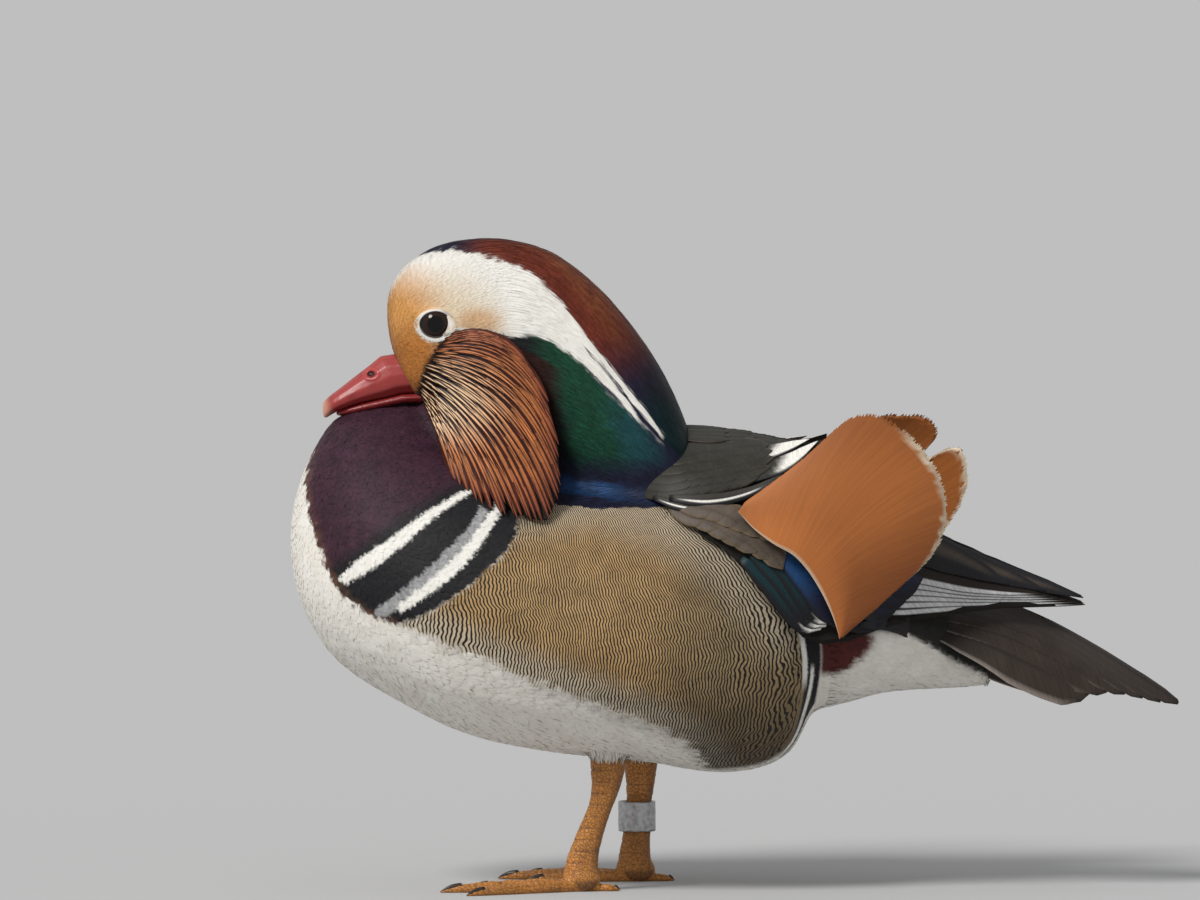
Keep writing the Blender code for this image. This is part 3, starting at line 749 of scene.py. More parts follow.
@dataclass
class Skin:
    """The one skin under all the plumage of head, neck and body."""

    nodes: tuple[str, ...] = ("trunk", "rump", "head", "crest", "neck")
    sockets: tuple[str, ...] = ("eye_left", "eye_right")
    voxel: float = 0.0017
    swell: float = 0.0007
    coat: float = 0.0013
    face_coat: float = 0.0007

    def build(self) -> bpy.types.Object:
        """Melts the fleshy solids together, inside their outline by the coat's depth."""
        made = melted("skin", self.nodes + self.sockets, self.voxel, self.swell, 14)
        mesh = made.data
        at = coordinates(mesh)
        face = ramp(at[:, 1], -0.080, -0.100) * ramp(at[:, 2], 0.176, 0.186)
        depth = self.swell + self.coat * (1.0 - face) + self.face_coat * face
        at -= normals(mesh) * depth[:, None]
        at[:, 2] += self.bib(at / MM) * MM
        move(mesh, at)
        self.unwrap(made)
        colours, waves, flow = marked(at)
        write_tint(mesh, colours)
        write_number(mesh, "waves", waves)
        write_number(mesh, "flow", flow)
        mesh.materials.append(Plumage("skin_down", 0.8, 0.1, 0.15, waves=True).make())
        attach(made, "root")
        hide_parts(*self.nodes)
        return made

    def bib(self, at: Array) -> Array:
        """How far the breast is raised so that the bill rests on it, in mm."""
        places = (-160, -156, -150, -144, -136, -128, -120, -114, -108)
        rise = np.interp(at[:, 1], places, (0, 0.9, 2.5, 3.7, 3.9, 5.5, 7.6, 5.2, 0))
        above = ramp(at[:, 2], 156.0, 167.0) * ramp(at[:, 2], 178.0, 174.0)
        return rise * np.exp(-((at[:, 0] / 15.0) ** 2)) * above

    def unwrap(self, made: bpy.types.Object) -> None:
        """Lays the skin out flat, for the places of the feathers' colours."""
        bpy.context.view_layer.objects.active = made
        made.select_set(True)
        bpy.ops.object.mode_set(mode="EDIT")
        bpy.ops.mesh.select_all(action="SELECT")
        bpy.ops.uv.smart_project(angle_limit=math.radians(66), island_margin=0.002)
        bpy.ops.object.mode_set(mode="OBJECT")
        made.select_set(False)
        made.data.uv_layers[0].name = "Hide"


HEAD_FLOOR = Line((
    (-135, 178), (-118, 176.5), (-100, 162), (-86, 150), (-66, 141), (-40, 139.5), (-20, 141), (-11, 146),
    (-4, 160),
))


def on_head(at: Array) -> Array:
    """Which rows of places, in mm, belong to the head and crest."""
    above = HEAD_FLOOR.off(at)
    return (above > 0.0) & (at[:, 1] < -6.0)


def marked(at: Array) -> tuple[Array, Array, Array]:
    """Colours, strength of the flank's waves, and their flow, for places in metres."""
    rows = at / MM
    noise = 0.7 * grain(rows, 2.0, 1) + 0.5 * grain(rows, 0.9, 2)
    colours, waves, flow = np.zeros((len(rows), 3)), np.zeros(len(rows)), np.zeros(len(rows))
    head = on_head(rows)
    colours[head] = MARKINGS.head(rows[head], noise[head])
    body = ~head
    colours[body], waves[body] = MARKINGS.body(rows[body], noise[body])
    flank = waves > 0.0
    flow[flank] = MARKINGS.flow(rows[flank])
    return colours, waves, flow


# --------------------------------------------------------------------------- coat


class Surface:
    """A skin that feathers stand on: it can be sampled, and places can be settled onto it."""

    def __init__(self, made: bpy.types.Object) -> None:
        """Reads the mesh's triangles, normals and layout."""
        mesh = made.data
        self.at, self.normal, self.faces = coordinates(mesh), normals(mesh), triangles(mesh)
        loops = np.empty(self.faces.size, np.int32)
        mesh.loop_triangles.foreach_get("loops", loops)
        layout = np.empty(len(mesh.loops) * 2, np.float32)
        mesh.uv_layers["Hide"].data.foreach_get("uv", layout)
        self.layout = layout.reshape(-1, 2)[loops].reshape(-1, 3, 2)
        corners = self.at[self.faces]
        cross = np.cross(corners[:, 1] - corners[:, 0], corners[:, 2] - corners[:, 0])
        self.area = np.linalg.norm(cross, axis=1) / 2.0
        self.tree = self.tree_of(mesh)

    @staticmethod
    def tree_of(mesh: bpy.types.Mesh) -> BVHTree:
        """A tree of the mesh's triangles, for rays and nearest points."""
        return BVHTree.FromPolygons(coordinates(mesh).tolist(), triangles(mesh).tolist())

    def patch(self, places: Array) -> Array:
        """The points in the layout that are nearest to places."""
        found = [self.tree.find_nearest(place)[2] for place in places.tolist()]
        return self.layout[found].mean(axis=1)

    def settle(self, places: Array) -> tuple[Array, Array]:
        """The nearest places on the surface, and the smooth normals there."""
        found = [self.tree.find_nearest(place) for place in places.tolist()]
        spots = np.array([hit[0][:] for hit in found])
        return spots, unit(self.normal[self.faces[[hit[2] for hit in found]]].mean(axis=1))

    def scatter(
        self, spacing: float, wanted: Callable[[Array], Array], rng: np.random.Generator
    ) -> tuple[Array, Array, Array]:
        """Places spread over part of the surface.

        Args:
            spacing: About how far apart they are, in metres.
            wanted: Says for rows of places in mm how closely they are set, from 0 to 1.
            rng: The source of chance.

        Returns:
            The places, the smooth normals there, and their points in the layout.
        """
        middles = self.at[self.faces].mean(axis=1) / MM
        weight = self.area * (wanted(middles) > 0.0)
        count = int(weight.sum() / spacing**2 * 5.0)
        faces = rng.choice(len(weight), count, p=weight / weight.sum())
        one, two = rng.random(count), rng.random(count)
        fold = one + two > 1.0
        one, two = np.where(fold, 1.0 - one, one), np.where(fold, 1.0 - two, two)
        share = np.column_stack([1.0 - one - two, one, two])[:, :, None]
        corners = self.faces[faces]
        places = (self.at[corners] * share).sum(axis=1)
        cells = np.floor(places / (spacing * 1.05)).astype(np.int64)
        _, first = np.unique(cells, axis=0, return_index=True)
        first = first[rng.random(len(first)) < wanted(places[first] / MM)]
        kept = rng.permutation(first)
        facing = unit((self.normal[corners[kept]] * share[kept]).sum(axis=1))
        return places[kept], facing, (self.layout[faces[kept]] * share[kept]).sum(axis=1)


class Tip(Enum):
    """How a feather ends: the half width at shares of the way from root to tip."""

    ROUND = ((0.0, 0.30), (0.25, 0.75), (0.55, 1.0), (0.80, 0.86), (0.93, 0.52), (1.0, 0.10))
    POINTED = ((0.0, 0.45), (0.3, 1.0), (0.6, 0.85), (0.85, 0.45), (1.0, 0.04))
    HAIR = ((0.0, 0.9), (0.4, 1.0), (0.8, 0.55), (1.0, 0.08))
    BLUNT = ((0.0, 0.25), (0.2, 0.7), (0.5, 1.0), (0.85, 0.95), (0.96, 0.6), (1.0, 0.15))

    def widths(self, shares: Array) -> Array:
        """The half widths at shares of the way."""
        rows = np.array(self.value)
        return np.interp(shares, rows[:, 0], rows[:, 1])


def cells(across: Sequence[float], along: Array) -> Array:
    """The places on a feather of a grid's points, from across (-1 to 1) and along (0 to 1)."""
    return np.stack(np.meshgrid((np.asarray(across) + 1.0) / 2.0, along), axis=-1)


def joined(
    name: str, places: Array, material: bpy.types.Material, tint: Array | None = None,
    layout: Array | None = None, vane: Array | None = None,
) -> bpy.types.Object:
    """Many feathers of one grid as one mesh.

    Args:
        name: The object's name.
        places: Feathers by rows along by columns across, each a place in metres.
        material: The plumage.
        tint: The colour at each place, unless it's written later.
        layout: The point of each feather's root in the skin's layout, if it has one.
        vane: The grid's cells, which are needed with a layout.

    Returns:
        The new object.
    """
    count, along, across, _ = places.shape
    cell = np.arange(along * across).reshape(along, across)
    quads = np.stack([cell[:-1, :-1], cell[:-1, 1:], cell[1:, 1:], cell[1:, :-1]], axis=-1).reshape(-1, 4)
    faces = (quads[None] + (np.arange(count) * along * across)[:, None, None]).reshape(-1, 4)
    mesh = bpy.data.meshes.new(name)
    mesh.vertices.add(count * along * across)
    mesh.vertices.foreach_set("co", places.astype(np.float32).ravel())
    mesh.loops.add(faces.size)
    mesh.loops.foreach_set("vertex_index", faces.astype(np.int32).ravel())
    mesh.polygons.add(len(faces))
    mesh.polygons.foreach_set("loop_start", np.arange(len(faces), dtype=np.int32) * 4)
    mesh.update(calc_edges=True)
    if layout is not None:
        patch = layout[:, None, None, :] + (vane[None] - 0.5) * PATCH
        held = mesh.uv_layers.new(name="OFBake")
        rows = patch.reshape(-1, 2)[faces.ravel()]
        held.data.foreach_set("uv", np.clip(rows, 0.0, 1.0).astype(np.float32).ravel())
    if tint is not None:
        write_tint(mesh, tint.reshape(-1, 3))
    mesh.materials.append(material)
    mesh.shade_smooth()
    made = bpy.data.objects.new(name, mesh)
    bpy.context.scene.collection.objects.link(made)
    return made


@dataclass
class Coat:
    """One stretch of small feathers over the skin.

    Lengths are in mm. wanted says how closely the feathers stand, lie which way they point and
    scale how large they are, for rows of places. stray, shade and ragged are how much the ways,
    the tones and the ends vary, and camber is the height of a feather's middle by its half width.
    """

    name: str
    slot: str
    wanted: Callable[[Array], Array]
    lie: Callable[[Array], Array]
    plumage: Plumage
    spacing: float
    length: float
    width: float
    lift: float
    tip: Tip = Tip.ROUND
    along: int = 4
    across: int = 3
    camber: float = 0.25
    stray: float = 0.10
    shade: float = 0.12
    ragged: float = 0.05
    seed: int = 1
    scale: Callable[[Array], Array] | None = None

    def build(self, skin: Surface) -> bpy.types.Object:
        """Scatters the feathers and lays them over one another along the body."""
        rng = np.random.default_rng(self.seed)
        root, facing, layout = skin.scatter(self.spacing * MM, self.wanted, rng)
        count = len(root)
        size = self.scale(root / MM) if self.scale else np.ones(count)
        length = self.length * MM * size * rng.uniform(0.82, 1.15, count)
        width = self.width * MM * size * rng.uniform(0.85, 1.15, count) / 2.0
        lift = self.lift * MM * rng.uniform(0.7, 1.25, count)
        shares = np.linspace(0.0, 1.0, self.along + 1)
        step = (length / self.along)[:, None]
        spine, up, way = self.spines(skin, root, facing, step, self.heading(root, facing, rng))
        side = unit(np.cross(way, up))
        across = np.linspace(-1.0, 1.0, self.across)
        half = width[:, None] * self.tip.widths(shares)[None]
        rise = lift[:, None] * (0.06 + 0.94 * shares[None] ** 1.2)
        crown = self.camber * half[:, :, None] * (1.0 - across[None, None] ** 2)
        torn = rng.uniform(-1.0, 1.0, (count, self.along + 1, self.across)) * self.ragged
        torn *= (shares[None, :, None] > 0.6) * length[:, None, None]
        places = (
            spine[:, :, None]
            + side[:, :, None] * (half[:, :, None] * across)[..., None]
            + up[:, :, None] * (rise[:, :, None] + crown)[..., None]
            + way[:, :, None] * torn[..., None]
        )
        made = joined(self.name, places, self.plumage.make(), None, layout, cells(across, shares))
        self.dress(made, spine, places, shares, rng)
        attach(made, "root")
        LOG.info("%s: %d feathers, %d faces", self.name, count, len(made.data.polygons))
        return made

    def spines(
        self, skin: Surface, root: Array, facing: Array, step: Array, way: Array
    ) -> tuple[Array, Array, Array]:
        """Walks over the skin from the roots.

        Args:
            skin: The surface.
            root: Where each feather starts.
            facing: The skin's normal there.
            step: How long each feather's steps are.
            way: The way in which it sets out.

        Returns:
            The places, the normals and the ways at each feather's steps.
        """
        spots, ups, ways = [root], [facing], [way]
        for _ in range(self.along):
            spot, up = skin.settle(spots[-1] + way * step)
            way = unit(0.55 * along_surface(way, up) + 0.45 * self.heading(spot, up, None))
            for rows, fresh in ((spots, spot), (ups, up), (ways, way)):
                rows.append(fresh)
        return np.stack(spots, axis=1), np.stack(ups, axis=1), np.stack(ways, axis=1)

    def heading(self, at: Array, up: Array, rng: np.random.Generator | None) -> Array:
        """The lie of the coat along the surface, with a little chance in it."""
        way = unit(self.lie(at / MM))
        if rng is not None:
            way = way + rng.normal(0.0, self.stray, way.shape)
        return along_surface(way, up)

    def dress(
        self, made: bpy.types.Object, spine: Array, places: Array, shares: Array, rng: np.random.Generator
    ) -> None:
        """Colours each point by its place, pulled towards the feather's shaft, darker at its root as painted
        shade.
        """
        count, along, across, _ = places.shape
        root = spine[:, along // 2] / MM
        loose = np.minimum(ramp(np.abs(MARKINGS.rim.off(root)), 6.0, 10.0) + on_head(root), 1.0)
        loose = loose[:, None, None, None]
        shift = rng.normal(0.0, 0.25 * MM, (count, 1, 1, 3)) + 0.4 * (spine[:, :, None] - places)
        flat = (places + loose * shift).reshape(-1, 3)
        colours, waves, _ = marked(flat)
        flow = MARKINGS.flow(places.reshape(-1, 3) / MM)
        each = rng.uniform(1.0 - self.shade, 1.0 + self.shade, count)
        # painted shade: each feather darker towards its root, where the feathers above cover it
        depth = 0.72 + 0.28 * ramp(shares, 0.0, 0.6)
        factor = np.repeat(each[:, None] * depth[None], across)
        calm = 0.7 * ramp(colours.mean(axis=1), 0.25, 0.6)
        factor = factor + (1.0 - factor) * calm
        write_tint(made.data, colours * factor[:, None])
        write_number(made.data, "waves", waves)
        write_number(made.data, "flow", flow)


def way_of_body(at: Array) -> Array:
    """The lie of breast, flank, belly and rump feathers, for rows of places in mm."""
    x, y, z = at[:, 0], at[:, 1], at[:, 2]
    front = ramp(y, -96.0, -150.0)
    down = -0.85 * front - 0.10 + 0.10 * ramp(z, 90.0, 50.0)
    down = down - 0.35 * ramp(y, 25.0, 50.0) * ramp(z, 75.0, 110.0)
    return np.column_stack([0.30 * front * np.tanh(x / 14.0), 0.35 + 0.65 * (1.0 - front), down])


def way_of_rim(at: Array) -> Array:
    """The lie of the small feathers along the flank's rim, downward and a little back."""
    _, share, _ = MARKINGS.rim.measure(at[:, 1], at[:, 2])
    run = unit(np.gradient(MARKINGS.rim.curve[:, :2], axis=0))
    steps = np.linspace(0.0, 1.0, len(run))
    return np.column_stack([np.zeros(len(at)), read(run, steps, share) + [0.6, 0.0]])


def way_of_head(at: Array) -> Array:
    """The lie of the head's feathers, from the bill over the crown and down the crest."""
    x, y, z = at[:, 0], at[:, 1], at[:, 2]
    to_end = unit(np.column_stack([np.tanh(x / 6.0) * 16.0 - x, -10.0 - y, 138.0 - z]))
    from_bill = unit(np.column_stack([0.5 * x, y + 134.0, 0.55 * (z - 192.0)]))
    late = ramp(y + 0.25 * (z - 200.0), -100.0, -52.0)[:, None]
    return from_bill * (1.0 - late) + to_end * late


def of_face(at: Array) -> Array:
    """How closely the face's short hairs stand."""
    y, z = at[:, 1], at[:, 2]
    above = MARKINGS.crown_edge.off(at)
    eye = np.hypot((y - MARKINGS.eye[0]) / 6.6, (z - MARKINGS.eye[1]) / 5.7) > 1.0
    return (on_head(at) & eye & (above < 1.0)) * ramp(y, -80.0, -88.0)


def of_crest(at: Array) -> Array:
    """How closely the long strands of crown, band and crest stand."""
    above = MARKINGS.crown_edge.off(at)
    return on_head(at) * np.where(above >= 0.0, 1.0, ramp(at[:, 1], -91.0, -83.0))


def of_breast(at: Array) -> Array:
    """How closely the breast's small feathers stand."""
    front = MARKINGS.flank_front.off(at)
    return (~on_head(at) & (front > -1.0) & (at[:, 2] > 94.0) & (at[:, 1] < -60.0)).astype(float)


def of_rim(at: Array) -> Array:
    """How closely the small feathers stand that carry the bands along the flank's rim."""
    rim = MARKINGS.rim.off(at)
    near = (rim > -3.0) & (rim < 8.0) & (at[:, 1] > -34.0) & (at[:, 2] > 40.0)
    return (near & (np.abs(at[:, 0]) > 9.0) & ~on_head(at)).astype(float)


def beside_rim(at: Array) -> Array:
    """How large the feathers are that end at the bands along the flank's rim."""
    rim = MARKINGS.rim.off(at)
    return np.maximum(0.42 + 0.58 * ramp(np.abs(rim - 2.5), 5.5, 12.0), ramp(np.abs(at[:, 0]), 12.0, 8.0))


def of_flank(at: Array) -> Array:
    """How closely the flank's feathers stand."""
    rest = (of_breast(at) == 0.0) & (of_rump(at) == 0.0) & (of_rim(at) == 0.0)
    return (~on_head(at) & rest & ~of_underside(at)).astype(float)


def of_underside(at: Array) -> Array:
    """Whether places are on the white belly."""
    above = MARKINGS.flank_below.off(at)
    low = (above < -1.0) & (at[:, 2] < 100.0) & (at[:, 1] < 10.0)
    return low | (np.abs(at[:, 0]) < 16.0) & (at[:, 2] < 90.0)


def of_belly(at: Array) -> Array:
    """How closely the belly's feathers stand."""
    rest = (of_breast(at) == 0.0) & (of_rump(at) == 0.0) & (of_rim(at) == 0.0) & ~on_head(at)
    return (of_underside(at) & rest).astype(float)


def of_rump(at: Array) -> Array:
    """How closely the feathers behind the flank's rim stand."""
    rim = MARKINGS.rim.off(at)
    return ((rim > 5.0) & (at[:, 1] > -40.0) & (of_rim(at) == 0.0) & ~on_head(at)).astype(float)


COATS = (
    Coat(
        "face_feathers", "head_plumage", of_face, way_of_head, Plumage("face_feather", 0.7, 0.05, 0.16),
        0.66, 3.4, 0.75, 0.24, Tip.HAIR, 3, 2, 0.0, 0.06, 0.07, 0.0, 3,
    ),
    Coat(
        "crest_strands", "crest_plumage", of_crest, way_of_head,
        Plumage("crest_strand", 0.5, 0.02, 0.22, gloss=0.14),
        1.0, 13.0, 0.72, 0.45, Tip.HAIR, 6, 2, 0.0, 0.035, 0.24, 0.0, 4,
    ),
    Coat(
        "breast_feathers", "breast_plumage", of_breast, way_of_body,
        Plumage("breast_feather", 0.6, 0.03, 0.25, waves=True),
        1.25, 4.6, 2.3, 0.34, Tip.ROUND, 4, 3, 0.12, 0.06, 0.14, 0.05, 5,
    ),
    Coat(
        "flank_feathers", "body_plumage", of_flank, way_of_body,
        Plumage("flank_feather", 0.65, 0.03, 0.14, waves=True),
        1.5, 6.0, 3.2, 0.38, Tip.ROUND, 4, 3, 0.12, 0.05, 0.07, 0.05, 6, beside_rim,
    ),
    Coat(
        "rim_feathers", "body_plumage", of_rim, way_of_rim,
        Plumage("rim_feather", 0.65, 0.03, 0.14, waves=True),
        0.85, 3.0, 1.3, 0.34, Tip.ROUND, 4, 3, 0.12, 0.05, 0.05, 0.03, 9,
    ),
    Coat(
        "belly_feathers", "body_plumage", of_belly, way_of_body,
        Plumage("belly_feather", 0.75, 0.05, 0.1, waves=True),
        1.5, 7.0, 3.0, 0.55, Tip.ROUND, 4, 3, 0.14, 0.08, 0.06, 0.06, 7, beside_rim,
    ),
    Coat(
        "rump_feathers", "body_plumage", of_rump, way_of_body,
        Plumage("rump_feather", 0.65, 0.03, 0.2, waves=True),
        1.5, 7.5, 3.2, 0.6, Tip.ROUND, 4, 3, 0.15, 0.08, 0.12, 0.06, 8, beside_rim,
    ),
)


# --------------------------------------------------------------------------- large feathers


class Sheet:
    """A smooth sheet through the outer face of solids, on which large feathers are drawn.

    A point on a sheet at the side is (y, z), with its height across the body. On a sheet seen from
    above it is (y, x), with z as its height. All in mm.
    """

    samples = 2500

    def __init__(
        self, nodes: Sequence[str], side: float = 1.0, above: bool = False, window: Points2 | None = None
    ) -> None:
        """Fits a cubic through one face of the solids, between two corners if a window is given."""
        self.side, self.above = side, above
        rng = np.random.default_rng(5)
        spots = []
        for node in nodes:
            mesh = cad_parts[node].data
            corners = coordinates(mesh)[triangles(mesh)] / MM
            across = np.cross(corners[:, 1] - corners[:, 0], corners[:, 2] - corners[:, 0])
            facing = unit(across)
            outer = facing[:, 2] > 0.15 if above else facing[:, 0] * side > 0.25
            area = np.linalg.norm(across, axis=1) * outer
            drawn = rng.choice(len(corners), self.samples, p=area / area.sum())
            share = rng.dirichlet((1.0, 1.0, 1.0), len(drawn))
            spots.append((corners[drawn] * share[:, :, None]).sum(axis=1))
        at = np.vstack(spots)
        flat = at[:, [1, 0]] if above else at[:, 1:]
        if window:
            kept = ((flat >= window[0]) & (flat <= window[1])).all(axis=1)
            at, flat = at[kept], flat[kept]
        self.middle, self.scale = flat.mean(axis=0), flat.std(axis=0)
        if above:
            self.middle[1] = 0.0
        height = at[:, 2] if above else at[:, 0] * side
        self.weights = np.linalg.lstsq(self.terms(flat), height, rcond=None)[0]

    def terms(self, flat: Array) -> Array:
        """The cubic's terms at rows of points."""
        u, v = ((flat - self.middle) / self.scale).T
        if self.above:
            v = np.abs(v)
        return np.column_stack([u**i * v**j for i in range(4) for j in range(4 - i)])

    def place(self, flat: Array, rise: Array) -> Array:
        """Places in mm at points of the sheet, raised over it."""
        shape = flat.shape[:-1]
        height = (self.terms(flat.reshape(-1, 2)) @ self.weights).reshape(shape) + rise
        if self.above:
            return np.stack([flat[..., 1], flat[..., 0], height], axis=-1)
        return np.stack([height * self.side, flat[..., 0], flat[..., 1]], axis=-1)


@dataclass(frozen=True)
class Quill:
    """One large feather as drawn on a sheet, in mm: its shaft, half widths and heights."""

    shaft: Points2 | Array
    left: float
    right: float
    low: float = 0.3
    rise: float = 0.6

    def toward(self, other: "Quill", share: float) -> "Quill":
        """The feather part of the way from this one to another."""
        shaft = np.array(self.shaft) + (np.array(other.shaft) - self.shaft) * share
        one, two = (np.array([quill.left, quill.right, quill.low, quill.rise]) for quill in (self, other))
        return Quill(shaft, *(one + (two - one) * share))


@dataclass
class Look:
    """What a painter knows of each point of a group of feathers."""

    along: Array
    across: Array
    which: Array
    at: Array

    @property
    def grit(self) -> Array:
        """A ragged shift for each point, from -1 to 1."""
        return 0.6 * grain(self.at, 1.2, 21) + 0.4 * grain(self.at, 0.5, 22)


@dataclass
class Fan:
    """A row of large feathers on a sheet, from a first one to a last one.

    camber is how far the middle of a feather stands out, as a share of its half width, and stray
    is how far its shaft strays, in mm.
    """

    name: str
    slot: str
    first: Quill
    last: Quill
    count: int
    paint: Callable[[Look], Array]
    tip: Tip = Tip.BLUNT
    along: int = 14
    across: int = 9
    camber: float = 0.10
    stray: float = 0.0
    seed: int = 1
    plumage: Plumage = Plumage("vane", 0.5, 0.02, 0.05, barbs=True)
    thickness: float = 0.22

    def rows(self, sheet: Sheet) -> tuple[Array, Look, Array]:
        """Draws the feathers: their places in mm, their look and each point's own place in mm."""
        rng = np.random.default_rng(self.seed)
        shares = np.linspace(0.0, 1.0, self.along + 1)
        across = np.linspace(-1.0, 1.0, self.across)
        places, own, which = [], [], []
        for number in range(self.count):
            share = number / max(self.count - 1, 1)
            quill = self.first.toward(self.last, share)
            shaft = np.array(quill.shaft) + rng.normal(0.0, self.stray, (len(quill.shaft), 2))
            curve = spline(shaft, 10)
            length = travelled(curve)
            way_at = shares * length[-1]
            line = read(curve, length, way_at)
            way = unit(np.gradient(line, axis=0))
            half = np.where(across > 0, quill.left, quill.right)[None] * self.tip.widths(shares)[:, None]
            off = half * across[None]
            flat = line[:, None] + left_of(way)[:, None] * off[..., None]
            flat -= way[:, None] * (0.45 * np.abs(off))[..., None] * ramp(shares, 0.6, 1.0)[:, None, None]
            lift = quill.low + quill.rise * shares[:, None] ** 1.3
            crown = self.camber * half * (1.0 - across[None] ** 2)
            places.append(sheet.place(flat, lift + crown))
            own.append(np.stack([off, np.broadcast_to(way_at[:, None], off.shape)], axis=-1))
            which.append(np.full(off.shape, share))
        at = np.stack(places)
        shape = at.shape[:-1]
        look = Look(
            np.broadcast_to(shares[None, :, None], shape).ravel(),
            np.broadcast_to(across[None, None], shape).ravel(),
            np.stack(which).ravel(),
            at.reshape(-1, 3),
        )
        return at, look, np.stack(own)

    def build(self, sheet: Sheet, word: str) -> bpy.types.Object:
        """Makes the feathers on one side as one piece."""
        at, look, own = self.rows(sheet)
        colours = self.paint(look).reshape(*at.shape[:-1], 3)
        if not sheet.above and sheet.side > 0:
            at, own, colours = at[:, :, ::-1], own[:, :, ::-1], colours[:, :, ::-1]
        made = joined(f"{self.name}_{word}", at * MM, self.plumage.make(), colours)
        write_vane(made.data, own)
        solid = made.modifiers.new("thickness", "SOLIDIFY")
        solid.thickness, solid.offset = self.thickness * MM, -1.0
        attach(made, "root")
        LOG.info("%s: %d feathers, %d faces", made.name, self.count, len(made.data.polygons))
        return made


def write_vane(mesh: bpy.types.Mesh, own: Array) -> None:
    """Stores each point's place on its own feather, from mm, as the map Vane in metres."""
    corners = np.empty(len(mesh.loops), np.int32)
    mesh.loops.foreach_get("vertex_index", corners)
    held = mesh.uv_layers.new(name="Vane")
    held.data.foreach_set("uv", (own.reshape(-1, 2)[corners] * MM).astype(np.float32).ravel())


def edged(look: Look, colour: Tint, edge: Tint, width: float) -> Array:
    """A feather of one colour with a narrow border, width as a share of the half vane."""
    made = colour.rgb * (1.0 + 0.25 * grain(look.at, 3.0, 31))[:, None]
    beside = ramp(np.abs(look.across), 1.0 - width, 1.0 - 0.4 * width)
    border = np.maximum(beside, ramp(look.along, 0.93, 0.98))
    shaft = ramp(np.abs(look.across), 0.12, 0.0) * 0.5
    made = made * (1.0 - 0.5 * shaft)[:, None]
    return blend(made, edge, border * 0.55)


def shoulder(look: Look) -> Array:
    """Dark grey-brown with paler borders, for shoulders and back."""
    return edged(look, Tint.BACK, Tint.WING_BROWN, 0.12)


